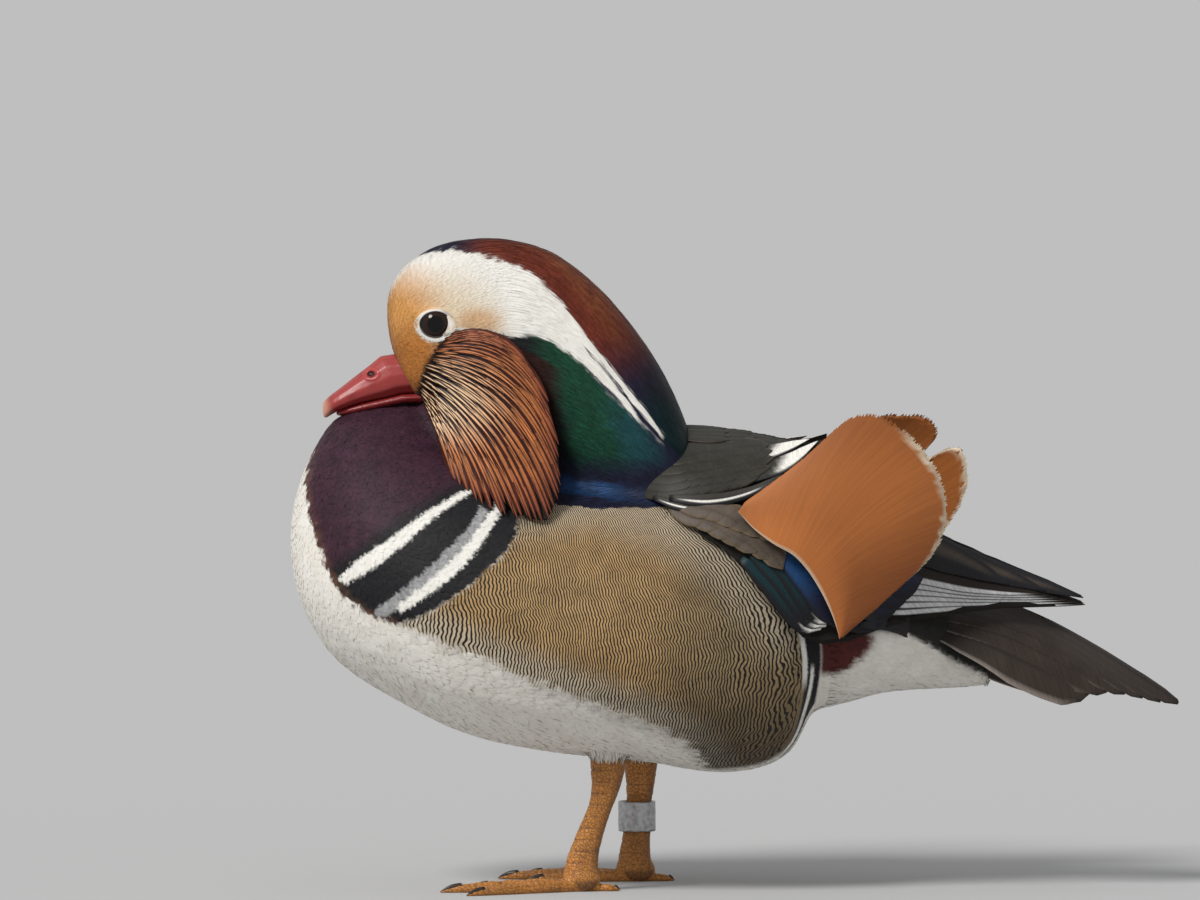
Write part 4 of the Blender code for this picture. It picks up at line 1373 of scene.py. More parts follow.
@dataclass
class Wing:
    """The folded wing's feathers in front of and under the sail, on one side."""

    side: str

    def brown(self, look: Look) -> Array:
        """Brown coverts with paler borders."""
        return edged(look, Tint.WING_BROWN, Tint.FLANK_OLIVE, 0.12)

    def blue(self, look: Look) -> Array:
        """A bright blue feather, navy at its end and along its lower border."""
        end, border = ramp(look.along, 0.45, 0.85), ramp(look.across, -0.5, -0.9)
        return layered(Tint.BLUE, (Tint.NAVY, end), (Tint.BLACK, border))

    def speculum(self, look: Look) -> Array:
        """Dark green feathers with black borders and, low down, white ends."""
        white = ramp(look.along + 0.05 * look.grit, 0.86, 0.90) * ramp(look.across, -0.9, -0.6)
        return layered(
            Tint.TEAL.rgb * 0.5,
            (Tint.BLACK, ramp(look.across, -0.2, -0.7)),
            (Tint.BLACK, ramp(look.along, 0.55, 0.8)),
            (Tint.WHITE, white),
        )

    def secondary(self, look: Look) -> Array:
        """Navy-black feathers that show behind the sail."""
        made = blend(Tint.BLACK, Tint.NAVY.rgb * 1.5, ramp(look.across, -0.9, 0.2))
        return blend(made, Tint.TEAL.rgb * 0.5, 0.5 * ramp(look.across, 0.2, 0.9))

    def striped(self, look: Look) -> Array:
        """Primaries, dark but for a silver line along the outer border."""
        line = ramp(look.across, -0.36, -0.46) * ramp(look.across, -1.0, -0.94)
        line = line * ramp(look.along, 0.99, 0.86) * (0.9 + 0.1 * look.grit)
        return blend(Tint.TAIL_BROWN.rgb * 0.5, Tint.SILVER, line)

    def tertial(self, look: Look) -> Array:
        """Long dark inner feathers, brown along the middle."""
        patch = ramp(np.abs(look.across - 0.25), 0.5, 0.1) * ramp(look.along, 0.2, 0.5)
        patch = 0.7 * patch * ramp(look.along, 0.95, 0.75)
        return blend(Tint.BLACK.rgb * 1.4, Tint.WING_BROWN, patch)

    def fans(self) -> tuple[Fan, ...]:
        """The rows of feathers, from the wing's edge to the top."""
        return (
            Fan(
                "primary_quills", "wing_plumage",
                Quill(((32, 103), (62, 104), (95, 105), (128, 103.3)), 4.5, 3.3, -0.8, 0.2),
                Quill(((38, 121), (62, 117), (88, 111), (112, 107.4)), 5, 4.2, 1.3, 0.6),
                6, self.striped, Tip.POINTED, 26, 13,
            ),
            Fan(
                "tertials", "wing_plumage",
                Quill(((45, 127), (72, 122), (100, 113.5), (127.3, 105.9)), 5.5, 4, 1.5, 0.3),
                Quill(((42, 132), (60, 128), (80, 120.5), (100, 111.2)), 6.5, 7, 2.2, 0.8),
                3, self.tertial, Tip.POINTED, 20, 11,
            ),
            Fan(
                "secondaries", "wing_plumage",
                Quill(((20, 112), (34, 102), (46, 98.5), (56, 101.5)), 5, 4, 1.2, 0.3),
                Quill(((28, 126), (44, 115), (58, 110.5), (68, 114.5)), 6.5, 5, 1.8, 0.4),
                4, self.secondary, Tip.BLUNT, 14, 9,
            ),
            Fan(
                "speculum", "wing_plumage",
                Quill(((2, 122), (14, 111), (24, 99.5), (31, 96.5)), 5, 4.6, 0.2, 0.6),
                Quill(((8, 127), (19, 115.5), (27, 103.5), (34.5, 98.5)), 4.5, 4.2, 0.8, 0.6),
                3, self.speculum, Tip.BLUNT, 14, 11,
            ),
            Fan(
                "blue_feather", "wing_plumage",
                Quill(((8, 131), (18, 121.5), (27, 110), (34, 98)), 4.2, 3.6, 1.5, 0.5),
                Quill(((8, 131), (18, 121.5), (27, 110), (34, 98)), 4.2, 3.6, 1.5, 0.5),
                1, self.blue, Tip.BLUNT, 16, 9,
            ),
            Fan(
                "coverts_low", "wing_plumage",
                Quill(((-24, 139.5), (-18, 138), (-11, 135)), 4.6, 3.4, 0.4, 1),
                Quill(((6, 130), (12, 125), (17.5, 118.5)), 5, 4.2, 1.6, 1),
                7, self.brown, Tip.ROUND, 10, 9, 0.10, 0.5,
            ),
            Fan(
                "coverts_high", "wing_plumage",
                Quill(((-24, 143), (-16, 141.5), (-7, 138.5)), 4.6, 4, 1.2, 1),
                Quill(((2, 138.5), (9, 134.5), (16, 128)), 5, 4.8, 2, 1),
                6, self.brown, Tip.ROUND, 10, 9, 0.10, 0.5,
            ),
        )

    def build(self) -> None:
        """Lays the rows over a dark core cut from the solids."""
        nodes = (f"wing_{self.side}", f"primaries_{self.side}")
        core = shrunk(f"wing_core_{self.side}", nodes, 0.9)
        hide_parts(*nodes)
        sheet = Sheet(nodes, SIDES[self.side])
        for fan in self.fans():
            fan.build(sheet, self.side)


def shrunk(name: str, nodes: Iterable[str], inward: float) -> bpy.types.Object:
    """A dark core for a group of feathers, painted as the shade between them: copies of solids drawn in a
    little, in mm.
    """
    # painted shade: near black, so that the gaps between the feathers look shaded
    shader = Shader(f"{name}_down", 0.9, Specular_IOR_Level=0.1)
    made = settled(name, copied(nodes, -inward * MM), shader.paint((0.020, 0.018, 0.016, 1.0)))
    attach(made, "root")
    return made


@dataclass
class Scapulars:
    """The dark shoulder feathers on one side, with white ends and a white line below."""

    side: str

    def lined(self, look: Look) -> Array:
        """A long feather, black along its lower border and with a white line above that."""
        made = blend(Tint.BACK, Tint.BLACK, ramp(look.across, 0.35, 0.15))
        line = ramp(np.abs(look.across + 0.10), 0.26, 0.14) * ramp(look.along, 0.05, 0.2)
        return blend(made, Tint.WHITE, line * ramp(look.along, 0.80, 0.66))

    def tipped(self, look: Look) -> Array:
        """Dark feathers with white ends and black borders below."""
        white = ramp(look.along - 0.10 * look.across + 0.03 * look.grit, 0.52, 0.66)
        made = blend(Tint.BACK, Tint.WHITE, white)
        return blend(made, Tint.BLACK, ramp(look.across, -0.55, -0.75))

    def fans(self) -> tuple[Fan, ...]:
        """The rows of feathers, from the lowest to the top."""
        lined = Quill(((-24, 143.5), (-9, 142.6), (5, 145.6), (18, 152.5)), 2.6, 2.4, 2.4, 0.2)
        below = Quill(((-30, 143.5), (-20, 140.6), (-9, 139.6), (2, 141)), 2.2, 1.6, 1.9, 0.1)
        return (
            Fan("scapular_hem", "back_plumage", below, below, 1, self.lined, Tip.POINTED, 16, 13),
            Fan("scapular_line", "back_plumage", lined, lined, 1, self.lined, Tip.POINTED, 18, 13),
            Fan(
                "scapulars_white", "back_plumage",
                Quill(((-6, 150), (8, 152.8), (19, 156.4), (30, 163.6)), 3.6, 3.4, 1.1, 0.5),
                Quill(((-8, 155.5), (4, 158.2), (15, 160.2), (27, 164.2)), 3, 2.8, 1.5, 0.5),
                2, self.tipped, Tip.POINTED, 20, 13,
            ),
            *(
                Fan(
                    f"scapulars_{row}", "back_plumage",
                    Quill(((-37, low), (-27, low), (-14, low + 1)), 3.6, 3.4, 1.2 + 0.25 * row, 0.5),
                    Quill(((-15, low + 1.5), (-2, low + 3.5), end), 3.4, 3.2, 1.2 + 0.25 * row, 0.5),
                    7, shoulder, Tip.ROUND, 14, 9, 0.10, 0.25, row,
                )
                for row, (low, end) in enumerate(
                    (
                        (145.5, (9.5, 151.5)), (148.5, (13.0, 154.8)), (151.5, (14.0, 157.4)),
                        (154.5, (13.5, 160.0)), (157.5, (12.0, 162.0)),
                    )
                )
            ),
        )

    def build(self) -> None:
        """Lays the rows over a dark core."""
        node = f"scapulars_{self.side}"
        core = shrunk(f"scapular_core_{self.side}", (node,), 0.8)
        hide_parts(node)
        sheet = Sheet((node,), SIDES[self.side])
        for fan in self.fans():
            fan.build(sheet, self.side)


class Saddle(Sheet):
    """The hollow of the back between the shoulder feathers, seen from above."""

    def __init__(self) -> None:
        """Needs no fit: its height is given."""
        self.side, self.above = 1.0, True

    def place(self, flat: Array, rise: Array) -> Array:
        """Places in mm over the hollow, which deepens and widens to the rear."""
        y, x = flat[..., 0], np.abs(flat[..., 1])
        edge = np.interp(y, (-14, 6, 18, 30), (3, 7.5, 12, 19))
        shoulder = np.interp(y, (-30, 0, 14, 30), (168.4, 168, 167, 167)) - 0.35 * x
        down = (167.6, 166.2, 161, 154, 147, 137)
        valley = np.interp(y, (-20, -10, 4, 16, 28, 42), down)
        share = np.clip(x / edge, 0.0, 1.0) ** 2
        return np.stack([flat[..., 1], y, valley + (shoulder - valley) * share + rise], axis=-1)


@dataclass
class Mantle:
    """The dark feathers that close the back between the shoulder feathers."""

    rows: Points2 = (
        (14, 15), (5, 15), (-4, 15), (-13, 15.5), (-22, 16),
    )

    def build(self) -> None:
        """Lays rows of feathers across the midline, each over the roots of the one behind it."""
        sheet = Saddle()
        for row, (start, half) in enumerate(self.rows):
            ends = []
            for side in SIDES.values():
                across = side * half
                shaft = ((start, across * 0.8), (start + 10.0, across * 0.93), (start + 21.0, across))
                ends.append(Quill(shaft, 3.4, 3.4, 0.3 + 0.2 * row, 0.35))
            look = (9, shoulder, Tip.ROUND, 12, 9, 0.10, 0.4, row)
            Fan(f"mantle_{row}", "back_plumage", *ends, *look).build(sheet, "top")


@dataclass
class Sail:
    """The upright orange feather of one wing, with its fringe.

    rachis is its front edge and margin its far border, or notched, where lag sets it back. size is
    how wide and high its barbs' lines are laid out, in mm.
    """

    side: str
    lag: float = 0.0
    lean: float = 0.0
    size: tuple[float, float] = (45.0, 75.0)
    columns: int = 40
    barbs: int = 330
    pivot: tuple[float, float] = (2.0, 139.0)
    rachis: Points2 = (
        (1, 139), (6.5, 132.8), (13.5, 127.5), (20.5, 123.5), (25.5, 118.3), (29.6, 112.1), (33, 105.6),
        (35.6, 99.4), (37.6, 93.1),
    )
    margin: Points2 = (
        (3.5, 142), (22.5, 156), (42, 172), (55.5, 170.5), (68.5, 159), (75.5, 143), (72, 125), (54, 107.3),
        (38.6, 94.2),
    )
    notched: Points2 = (
        (12, 142), (30, 154.5), (52, 169), (61.5, 170.6), (70.5, 170), (75, 163.5), (68.5, 155.6),
        (68, 150.5), (76, 157), (83.6, 158.6), (86, 149.5), (84.6, 140), (79, 130), (66, 112), (49.5, 92.5),
    )

    def moved(self, rows: Points2) -> Array:
        """Side points turned and set back as this sail is."""
        turn = math.radians(self.lean)
        off = np.array(rows) - self.pivot
        y = off[:, 0] * math.cos(turn) + off[:, 1] * math.sin(turn)
        z = off[:, 1] * math.cos(turn) - off[:, 0] * math.sin(turn)
        return np.column_stack([y, z]) + self.pivot + [self.lag, 0.0]

    def spaced(self, rows: Array, count: int) -> Array:
        """Points set evenly along a smooth curve through rows."""
        curve = spline(rows, 12)
        length = travelled(curve)
        return read(curve, length, np.linspace(0.0, length[-1], count))

    def colours(self, along: Array, across: Array, at: Array) -> Array:
        """Orange with painted shade low, behind and at the top, a painted highlight near the shaft, a pale
        shaft and a pale far border.
        """
        # painted shade: darker low and behind, and towards the top
        dark = ramp(at[:, 2] - 0.35 * at[:, 1], 120.0, 92.0) + 0.5 * ramp(at[:, 2], 150.0, 175.0)
        made = blend(Tint.SAIL, Tint.SAIL_SHADE, 0.75 * dark)
        # painted highlight: lighter along the front near the shaft
        painted_highlight = ramp(across, 0.32, 0.05) * ramp(along, 0.0, 0.2)
        made = blend(made, Tint.SAIL.rgb * 1.25, 0.7 * painted_highlight)
        made = blend(made, Tint.CREAM, ramp(across, 0.012, 0.004) * 0.8)
        edge = ramp(along, 0.40, 0.48) * ramp(along, 0.80, 0.70)
        grit = 0.012 * grain(at, 1.4, 41)
        bands = np.column_stack([np.zeros(len(at)), along * 9.0, across])
        made = made * (1.0 + 0.10 * grain(bands, 1.0, 42))[:, None]
        return blend(made, Tint.CREAM, edge * ramp(across + grit, 0.968, 0.99))

    def build(self) -> None:
        """Makes the broad vane and the loose barbs along its far border."""
        node = f"sail_{self.side}"
        sheet = Sheet((node,), SIDES[self.side])
        front = spline(self.moved(self.rachis), 12)
        rear = self.spaced(np.array(self.notched) if self.lag else self.moved(self.margin), len(front))
        across = np.linspace(0.0, 1.0, self.columns)
        along = np.linspace(0.0, 1.0, len(front))
        at = self.grid(sheet, front, rear, along, across)
        shape = at.shape[:-1]
        shares = (np.broadcast_to(part, shape).ravel() for part in (along[:, None], across[None]))
        colours = self.colours(*shares, self.unmoved(at.reshape(-1, 3)))
        wide = np.broadcast_to(across[None] * self.size[0], shape)
        own = np.stack([wide, along[:, None] * self.size[1] + 0.9 * across[None] * self.size[0]], axis=-1)
        grid = at[None]
        tint = colours.reshape(1, *shape, 3)
        if SIDES[self.side] < 0:
            grid, tint, own = grid[:, :, ::-1], tint[:, :, ::-1], own[:, ::-1]
        made = joined(f"sail_vane_{self.side}", grid * MM, self.plumage().make(), tint)
        write_vane(made.data, own)
        solid = made.modifiers.new("thickness", "SOLIDIFY")
        solid.thickness, solid.offset = 0.5 * MM, -1.0
        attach(made, "root")
        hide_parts(node)
        self.fringe(sheet, front, rear)

    def grid(self, sheet: Sheet, front: Array, rear: Array, along: Array, across: Array) -> Array:
        """Places of the vane between its front and rear edges, a little bent and torn."""
        bend = 3.0 * np.sin(math.pi * across)[None] * np.sin(math.pi * along)[:, None]
        flat = front[:, None] * (1.0 - across[None, :, None]) + rear[:, None] * across[None, :, None]
        way = unit(rear - front)
        flat += left_of(way)[:, None] * bend[..., None]
        rng = np.random.default_rng(9)
        torn = rng.normal(0.0, 0.25, len(front)) - 0.9 * (rng.random(len(front)) < 0.10)
        flat[:, -1] += way * torn[:, None]
        rise = 0.5 + 0.5 * np.sin(math.pi * across)[None] * np.ones((len(front), 1))
        return sheet.place(flat, rise)

    def plumage(self) -> Plumage:
        """The vane's finish."""
        return Plumage("sail_vane", 0.55, 0.04, 0.02, barbs=True, barb=0.07, reach=0.025)

    def unmoved(self, at: Array) -> Array:
        """Places set back to where the nearer sail has them, so that both are painted alike."""
        return at - np.array([0.0, self.lag, 0.0])

    def fringe(self, sheet: Sheet, front: Array, rear: Array) -> None:
        """Short loose barbs along the top and the far border."""
        rng = np.random.default_rng(10)
        count = self.barbs
        share = rng.uniform(0.05, 0.93, count)
        steps = np.arange(len(rear)) / (len(rear) - 1)
        out, inner = read(rear, steps, share), read(front, steps, share)
        way = unit(out - inner + rng.normal(0.0, 1.2, (count, 2)))
        length = rng.uniform(2.6, 4.2, count) * np.where(rng.random(count) < 0.15, 1.2, 1.0)
        reach = np.linspace(-0.7, 0.3, 5)
        half = 0.36 * np.array([1.0, 1.0, 0.9, 0.6, 0.15])
        across = np.array([-1.0, 1.0])
        line = out[:, None] + way[:, None] * (length[:, None] * reach)[..., None]
        flat = line[:, :, None] + left_of(way)[:, None, None] * (half[:, None] * across)[None, ..., None]
        height = rng.uniform(0.45, 0.85, count)[:, None, None] * np.ones((1, 5, 2))
        at = sheet.place(flat, height)
        pale = ramp(share, 0.40, 0.48) * ramp(share, 0.84, 0.74)
        base = blend(Tint.SAIL.rgb * 0.8, Tint.CREAM, pale)
        base = base * rng.uniform(0.8, 1.1, count)[:, None]
        tint = np.broadcast_to(base[:, None, None], at.shape).copy()
        rooted = Tint.SAIL.rgb * 0.9
        tint[:, :2] = rooted
        tint[:, 2] = (0.4 * rooted + 0.6 * base)[:, None]
        if sheet.side > 0:
            at, tint = at[:, :, ::-1], tint[:, :, ::-1]
        plumage = Plumage("fringe", 0.6, 0.05, 0.1).make()
        made = joined(f"sail_fringe_{self.side}", at * MM, plumage, tint)
        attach(made, "root")


@dataclass
class Tail:
    """The tail's feathers on both sides of the ridge, and the coverts over their roots."""

    pairs: int = 6

    def dark(self, look: Look) -> Array:
        """Dark brown with a thin pale border and a black shaft."""
        made = Tint.TAIL_BROWN.rgb * (1.0 + 0.2 * grain(look.at, 4.0, 51))[:, None]
        made = blend(made, Tint.BLACK, 0.6 * ramp(np.abs(look.across), 0.16, 0.04))
        edge = ramp(np.abs(look.across), 0.84, 0.96) * ramp(look.along, 0.98, 0.8)
        outer = np.maximum(0.35, 0.9 * ramp(look.which, 0.7, 1.0))
        return blend(made, Tint.GREY.rgb * 1.6, edge * outer)

    def covert(self, look: Look) -> Array:
        """Black, turning brown towards the end."""
        return blend(Tint.BLACK.rgb * 1.5, Tint.TAIL_BROWN, 0.7 * ramp(look.along, 0.2, 0.9))

    def hem(self, look: Look) -> Array:
        """The outermost feather, with a pale lower border."""
        return blend(Tint.TAIL_BROWN, Tint.GREY.rgb * 2.0, 0.9 * ramp(look.across, -0.72, -0.88))

    def build(self) -> None:
        """Lays the feathers on the roof of the tail, and coverts from the rump over their roots."""
        sheet = Sheet(("tail",), above=True)
        hem = Quill(((60, 95.5), (80, 84.5), (100, 74.8), (121, 67.6)), 4.6, 2, 0.5, 0.1)
        for word, side in SIDES.items():
            outer = self.quill(side, ((70, 16), (88, 20.5), (108, 22.5), (129, 20.5)), -0.7, 5)
            inner = self.quill(side, ((70, 2), (100, 2.6), (130, 2.4), (162.5, 1.8)), 0.9)
            look = (self.pairs, self.dark, Tip.BLUNT, 24, 11)
            made = Fan("tail_feathers", "tail_plumage", inner, outer, *look).build(sheet, word)
            if side > 0:
                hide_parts("tail")
            beside = Sheet(("rump", "tail"), side, window=((48.0, 66.0), (130.0, 112.0)))
            for fan in (
                Fan("tail_hem", "tail_plumage", hem, hem, 1, self.hem, Tip.POINTED, 20, 11),
                Fan(
                    "tail_coverts", "tail_plumage",
                    Quill(((62, 106), (76, 101.5), (94, 95)), 4.4, 4.4, 2.6, 0),
                    Quill(((58, 95.5), (71, 90), (86, 82)), 3.4, 2.8, 1.6, 0),
                    6, self.covert, Tip.ROUND, 12, 9, 0.10, 0.3,
                ),
                Fan(
                    "rump_coverts", "tail_plumage",
                    Quill(((46, 108.5), (60, 106), (78, 100.5)), 4.4, 4.4, 3, 0),
                    Quill(((46, 98.5), (58, 97), (71, 90.5)), 3.2, 2.6, 1.9, 0),
                    5, self.covert, Tip.ROUND, 12, 9, 0.10, 0.3,
                ),
            ):
                fan.build(beside, word)

    def quill(self, side: float, shaft: Points2, low: float, half: float = 6.0) -> Quill:
        """A tail feather with its shaft on one side of the ridge."""
        points = tuple((along, side * off) for along, off in shaft)
        return Quill(points, half, half, low, 0.3)


@dataclass
class Ruff:
    """The orange hackles of one cheek, which fan out from behind the bill.

    A hackle's path leads from root to reach and arches by bend. rows says where on the paths each
    row of hackles starts, as a share.
    """

    side: str
    columns: int = 34
    root: Points2 = (
        (-103, 202), (-105.5, 199), (-107.5, 196), (-109.5, 192.5), (-111.5, 188.5), (-113, 184.5),
        (-113.6, 180.5), (-112.5, 176.5),
    )
    reach: Points2 = (
        (-76.5, 194), (-69, 181), (-65, 165), (-64, 150), (-68, 138), (-78, 137), (-91, 141.5),
        (-102, 149.5),
    )
    bend: tuple[float, ...] = (4.6, 8.0, 9.5, 9.0, 7.5, 5.0, 3.0, 1.0)
    rows: tuple[float, ...] = (-0.02, 0.01, 0.045, 0.09, 0.15, 0.22, 0.30, 0.40, 0.51, 0.62)

    def path(self, which: Array, along: Array) -> Array:
        """Side points part of the way along the paths of the hackles."""
        steps = np.linspace(0.0, 1.0, len(self.root))
        first, last = read(self.root, steps, which), read(self.reach, steps, which)
        way = last - first
        over = unit(left_of(way))
        arch = np.interp(which, steps, self.bend) * 4.0 * along * (1.0 - along) * (1.15 - 0.3 * along)
        return first + way * along[:, None] + over * arch[:, None]

    def build(self, skin: Surface) -> None:
        """Lays rows of hackles over a dark core, short in front and long behind."""
        node = f"ruff_{self.side}"
        core = shrunk(f"ruff_core_{self.side}", (node,), 0.9)
        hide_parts(node)
        sheet = Sheet((node,), SIDES[self.side])
        rng = np.random.default_rng(12)
        which, start, reach, level = self.set_out(rng)
        shares = np.linspace(0.0, 1.0, 8)
        across = np.array([-1.0, -0.42, -0.24, 0.0, 0.24, 0.42, 1.0])
        count = len(which)
        line = np.stack([self.path(which, start + reach * s) for s in shares], axis=1)
        way = unit(np.gradient(line, axis=1))
        size = np.interp(start, (0, 0.08, 0.25, 0.6), (0.7, 0.85, 1.15, 1.6))
        size *= rng.uniform(0.9, 1.1, count)
        half = size[:, None] * Tip.POINTED.widths(shares)[None]
        flat = line[:, :, None] + left_of(way)[:, :, None] * (half[..., None] * across)[..., None]
        flare = 0.45 * shares[None] + rng.uniform(0.0, 0.8, (count, 1)) * shares[None] ** 3
        rise = 0.25 + 0.5 * level[:, None] + flare + rng.uniform(0.0, 0.3, (count, 1))
        ridge = half[..., None] * (1.0 - np.abs(across)) * 0.5
        at = sheet.place(flat, rise[..., None] + ridge)
        along = start[:, None] + reach[:, None] * shares
        at[..., 0] = self.tucked((skin.tree, Surface.tree_of(core.data)), at, along) * sheet.side
        tint = self.colours(which, start, along, shares, across, rng)
        if sheet.side > 0:
            at, tint = at[:, :, ::-1], tint[:, :, ::-1]
        layout = skin.patch(at[:, 0, 3] * MM)
        plumage = Plumage("hackle", 0.42, 0.02, 0.16).make()
        name = f"ruff_hackles_{self.side}"
        made = joined(name, at * MM, plumage, tint, layout, cells(across, shares))
        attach(made, "root")
        LOG.info("%s: %d feathers", made.name, count)

    def set_out(self, rng: np.random.Generator) -> tuple[Array, Array, Array, Array]:
        """Says of each hackle which path it's on, where it starts, its reach and its level."""
        which, starts, reaches, level = [], [], [], []
        for row, start in enumerate(self.rows):
            count = self.columns * (2 if row < 3 else 3) // 3
            across = np.linspace(0.0, 1.0, count) + rng.uniform(-0.3, 0.3, count) / count
            which.append(np.clip(across, 0.0, 1.0) ** 1.12)
            starts.append(start + rng.uniform(-0.02, 0.02, count))
            reaches.append(min(0.12 + 1.1 * start, 0.47) * rng.uniform(0.85, 1.12, count))
            level.append(np.full(count, 1.0 - row / 10.0) * ramp(start, -0.12, 0.0))
        which, start, reach, level = map(np.concatenate, (which, starts, reaches, level))
        beyond = rng.uniform(0.0, 1.0, len(start)) * (0.05 + 0.09 * ramp(which, 0.5, 0.2))
        return which, start, np.minimum(reach, 1.0 + beyond - start), level

    def tucked(self, trees: Iterable[BVHTree], at: Array, along: Array) -> Array:
        """How far out the hackles' points are when those in front lie close on cheek and core."""
        out = np.abs(at[..., 0])
        sign = SIDES[self.side]
        for hackle, share in np.argwhere(along < 0.25).tolist():
            for column, (_, y, z) in enumerate(at[hackle, share].tolist()):
                start = Vector((sign * 60.0, y, z)) * MM
                hits = [tree.ray_cast(start, Vector((-sign, 0.0, 0.0)))[0] for tree in trees]
                floor = max((abs(hit.x) / MM for hit in hits if hit), default=0.0)
                floor -= 0.3 if share == 0 else -0.25
                high = floor + 0.3 * share + 36.0 * max(along[hackle, share], 0.0)
                out[hackle, share, column] = min(max(out[hackle, share, column], floor), high)
        return out

    def colours(
        self, which: Array, start: Array, along: Array, shares: Array, across: Array,
        rng: np.random.Generator,
    ) -> Array:
        """A bright shaft on a dark vane, in part painted highlight and shade, paler in front and below,
        maroon behind.
        """
        count = len(which)
        streak = blend(Tint.RUFF_STREAK, Tint.RUFF_RUST.rgb * 1.5, 0.75 * ramp(which, 0.40, 0.0))
        streak = streak * rng.uniform(0.6, 1.1, count)[:, None]
        vane = Tint.RUFF_VANE.rgb * rng.uniform(0.6, 1.1, count)[:, None]
        vane = blend(vane, Tint.RUFF_DARK, 0.3 + 0.7 * ramp(start, 0.40, 0.10) * ramp(which, 0.1, 0.4))
        made = np.zeros((count, len(shares), len(across), 3))
        pale = (ramp(which, 0.25, 0.65)[:, None] * ramp(along, 0.62, 0.20))[..., None]
        late = ramp(along, 0.60, 1.05)[..., None]
        lit = streak[:, None] * (1.0 - late) + Tint.RUFF_RUST.rgb * 1.15 * late
        lit = lit * (1.0 - pale) + Tint.RUFF_PALE.rgb * pale
        # the bright shaft is partly the hackle's own streak and partly a painted highlight on its ridge,
        # with painted shade on its sides
        for column, off in enumerate(np.abs(across)):
            share = float(ramp(np.array(off), 0.42, 0.20))
            made[:, :, column] = lit * share + vane[:, None] * (1.0 - share)
        # painted shade: each hackle darker towards its root, under the hackles that cover it
        made *= (0.25 + 0.75 * ramp(shares, 0.1, 0.5))[None, :, None, None]
        return made


# --------------------------------------------------------------------------- bare parts


@dataclass
class Bill:
    """Upper and lower bill, with nostrils, a pale nail and a dark gape line."""

    root: Line = Line(((-128.5, 197.5), (-124.0, 189.0), (-119.5, 181.5), (-115.5, 174.0)))
    nostril: tuple[float, float] = (-132.3, 187.4)
    rose: tuple[float, float, float] = (0.33, 0.038, 0.036)
    crimson: tuple[float, float, float] = (0.19, 0.013, 0.015)
    nail: tuple[float, float, float] = (0.62, 0.30, 0.20)
    nostril_shade: tuple[float, float, float] = (0.05, 0.006, 0.008)

    def build(self) -> None:
        """Makes both halves."""
        for half in ("upper", "lower"):
            made = melted(f"bill_horn_{half}", (f"bill_{half}",), 0.00045, 0.0003, 4)
            at = coordinates(made.data) / MM
            before = self.root.off(at)
            at[:, 1] += 4.5 * ramp(before, -2.4, -0.6)
            tint = self.colours(at)
            if half == "upper":
                off = self.from_nostril(at)
                inward = 1.1 * ramp(off, 1.25, 0.5) - 0.25 * ramp(np.abs(off - 1.9), 0.8, 0.0)
                at[:, 0] -= np.sign(at[:, 0]) * inward * ramp(np.abs(at[:, 0]), 1.0, 2.5)
            move(made.data, at * MM)
            write_tint(made.data, tint)
            made.data.materials.append(self.horn())
            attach(made, "root")
            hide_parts(f"bill_{half}")

    def colours(self, at: Array) -> Array:
        """Rose above, crimson along the gape and in patches, pale at the nail."""
        y, z = at[:, 1], at[:, 2]
        gape = z - (176.5 + 0.33 * (y + 134.0))
        low = ramp(z - 0.32 * (y + 134.0), 182.0, 176.0)
        off = self.from_nostril(at)
        return layered(
            self.rose,
            (self.crimson, 0.75 * low * ramp(np.abs(gape), 9.0, 2.0)),
            (self.crimson, 0.55 * ramp(grain(at, 4.0, 61), 0.1, 0.9)),
            (self.nail, 0.9 * ramp(y + 0.35 * (z - 178.0), -146.5, -151.0)),
            (np.array(self.rose) * 1.2, 0.8 * ramp(np.abs(off - 1.9), 0.7, 0.2)),
            # painted shade: the nostril's hollow is dark
            (self.nostril_shade, ramp(off, 1.3, 0.8)),
        )

    def from_nostril(self, at: Array) -> Array:
        """How far rows of places are from the middle of a nostril, which is long."""
        return np.hypot((at[:, 1] - self.nostril[0]) * 0.72, at[:, 2] - self.nostril[1])

    def horn(self) -> bpy.types.Material:
        """Smooth horn with a soft gloss."""
        shader = Shader("bill_horn", 0.36, Subsurface_Weight=0.08, Subsurface_Scale=0.002)
        shader.set(shader.bsdf, Specular_IOR_Level=0.45)
        shader.bump(shader.noise(700.0, 3.0), 0.00012, 0.5)
        return shader.paint(shader.tint())


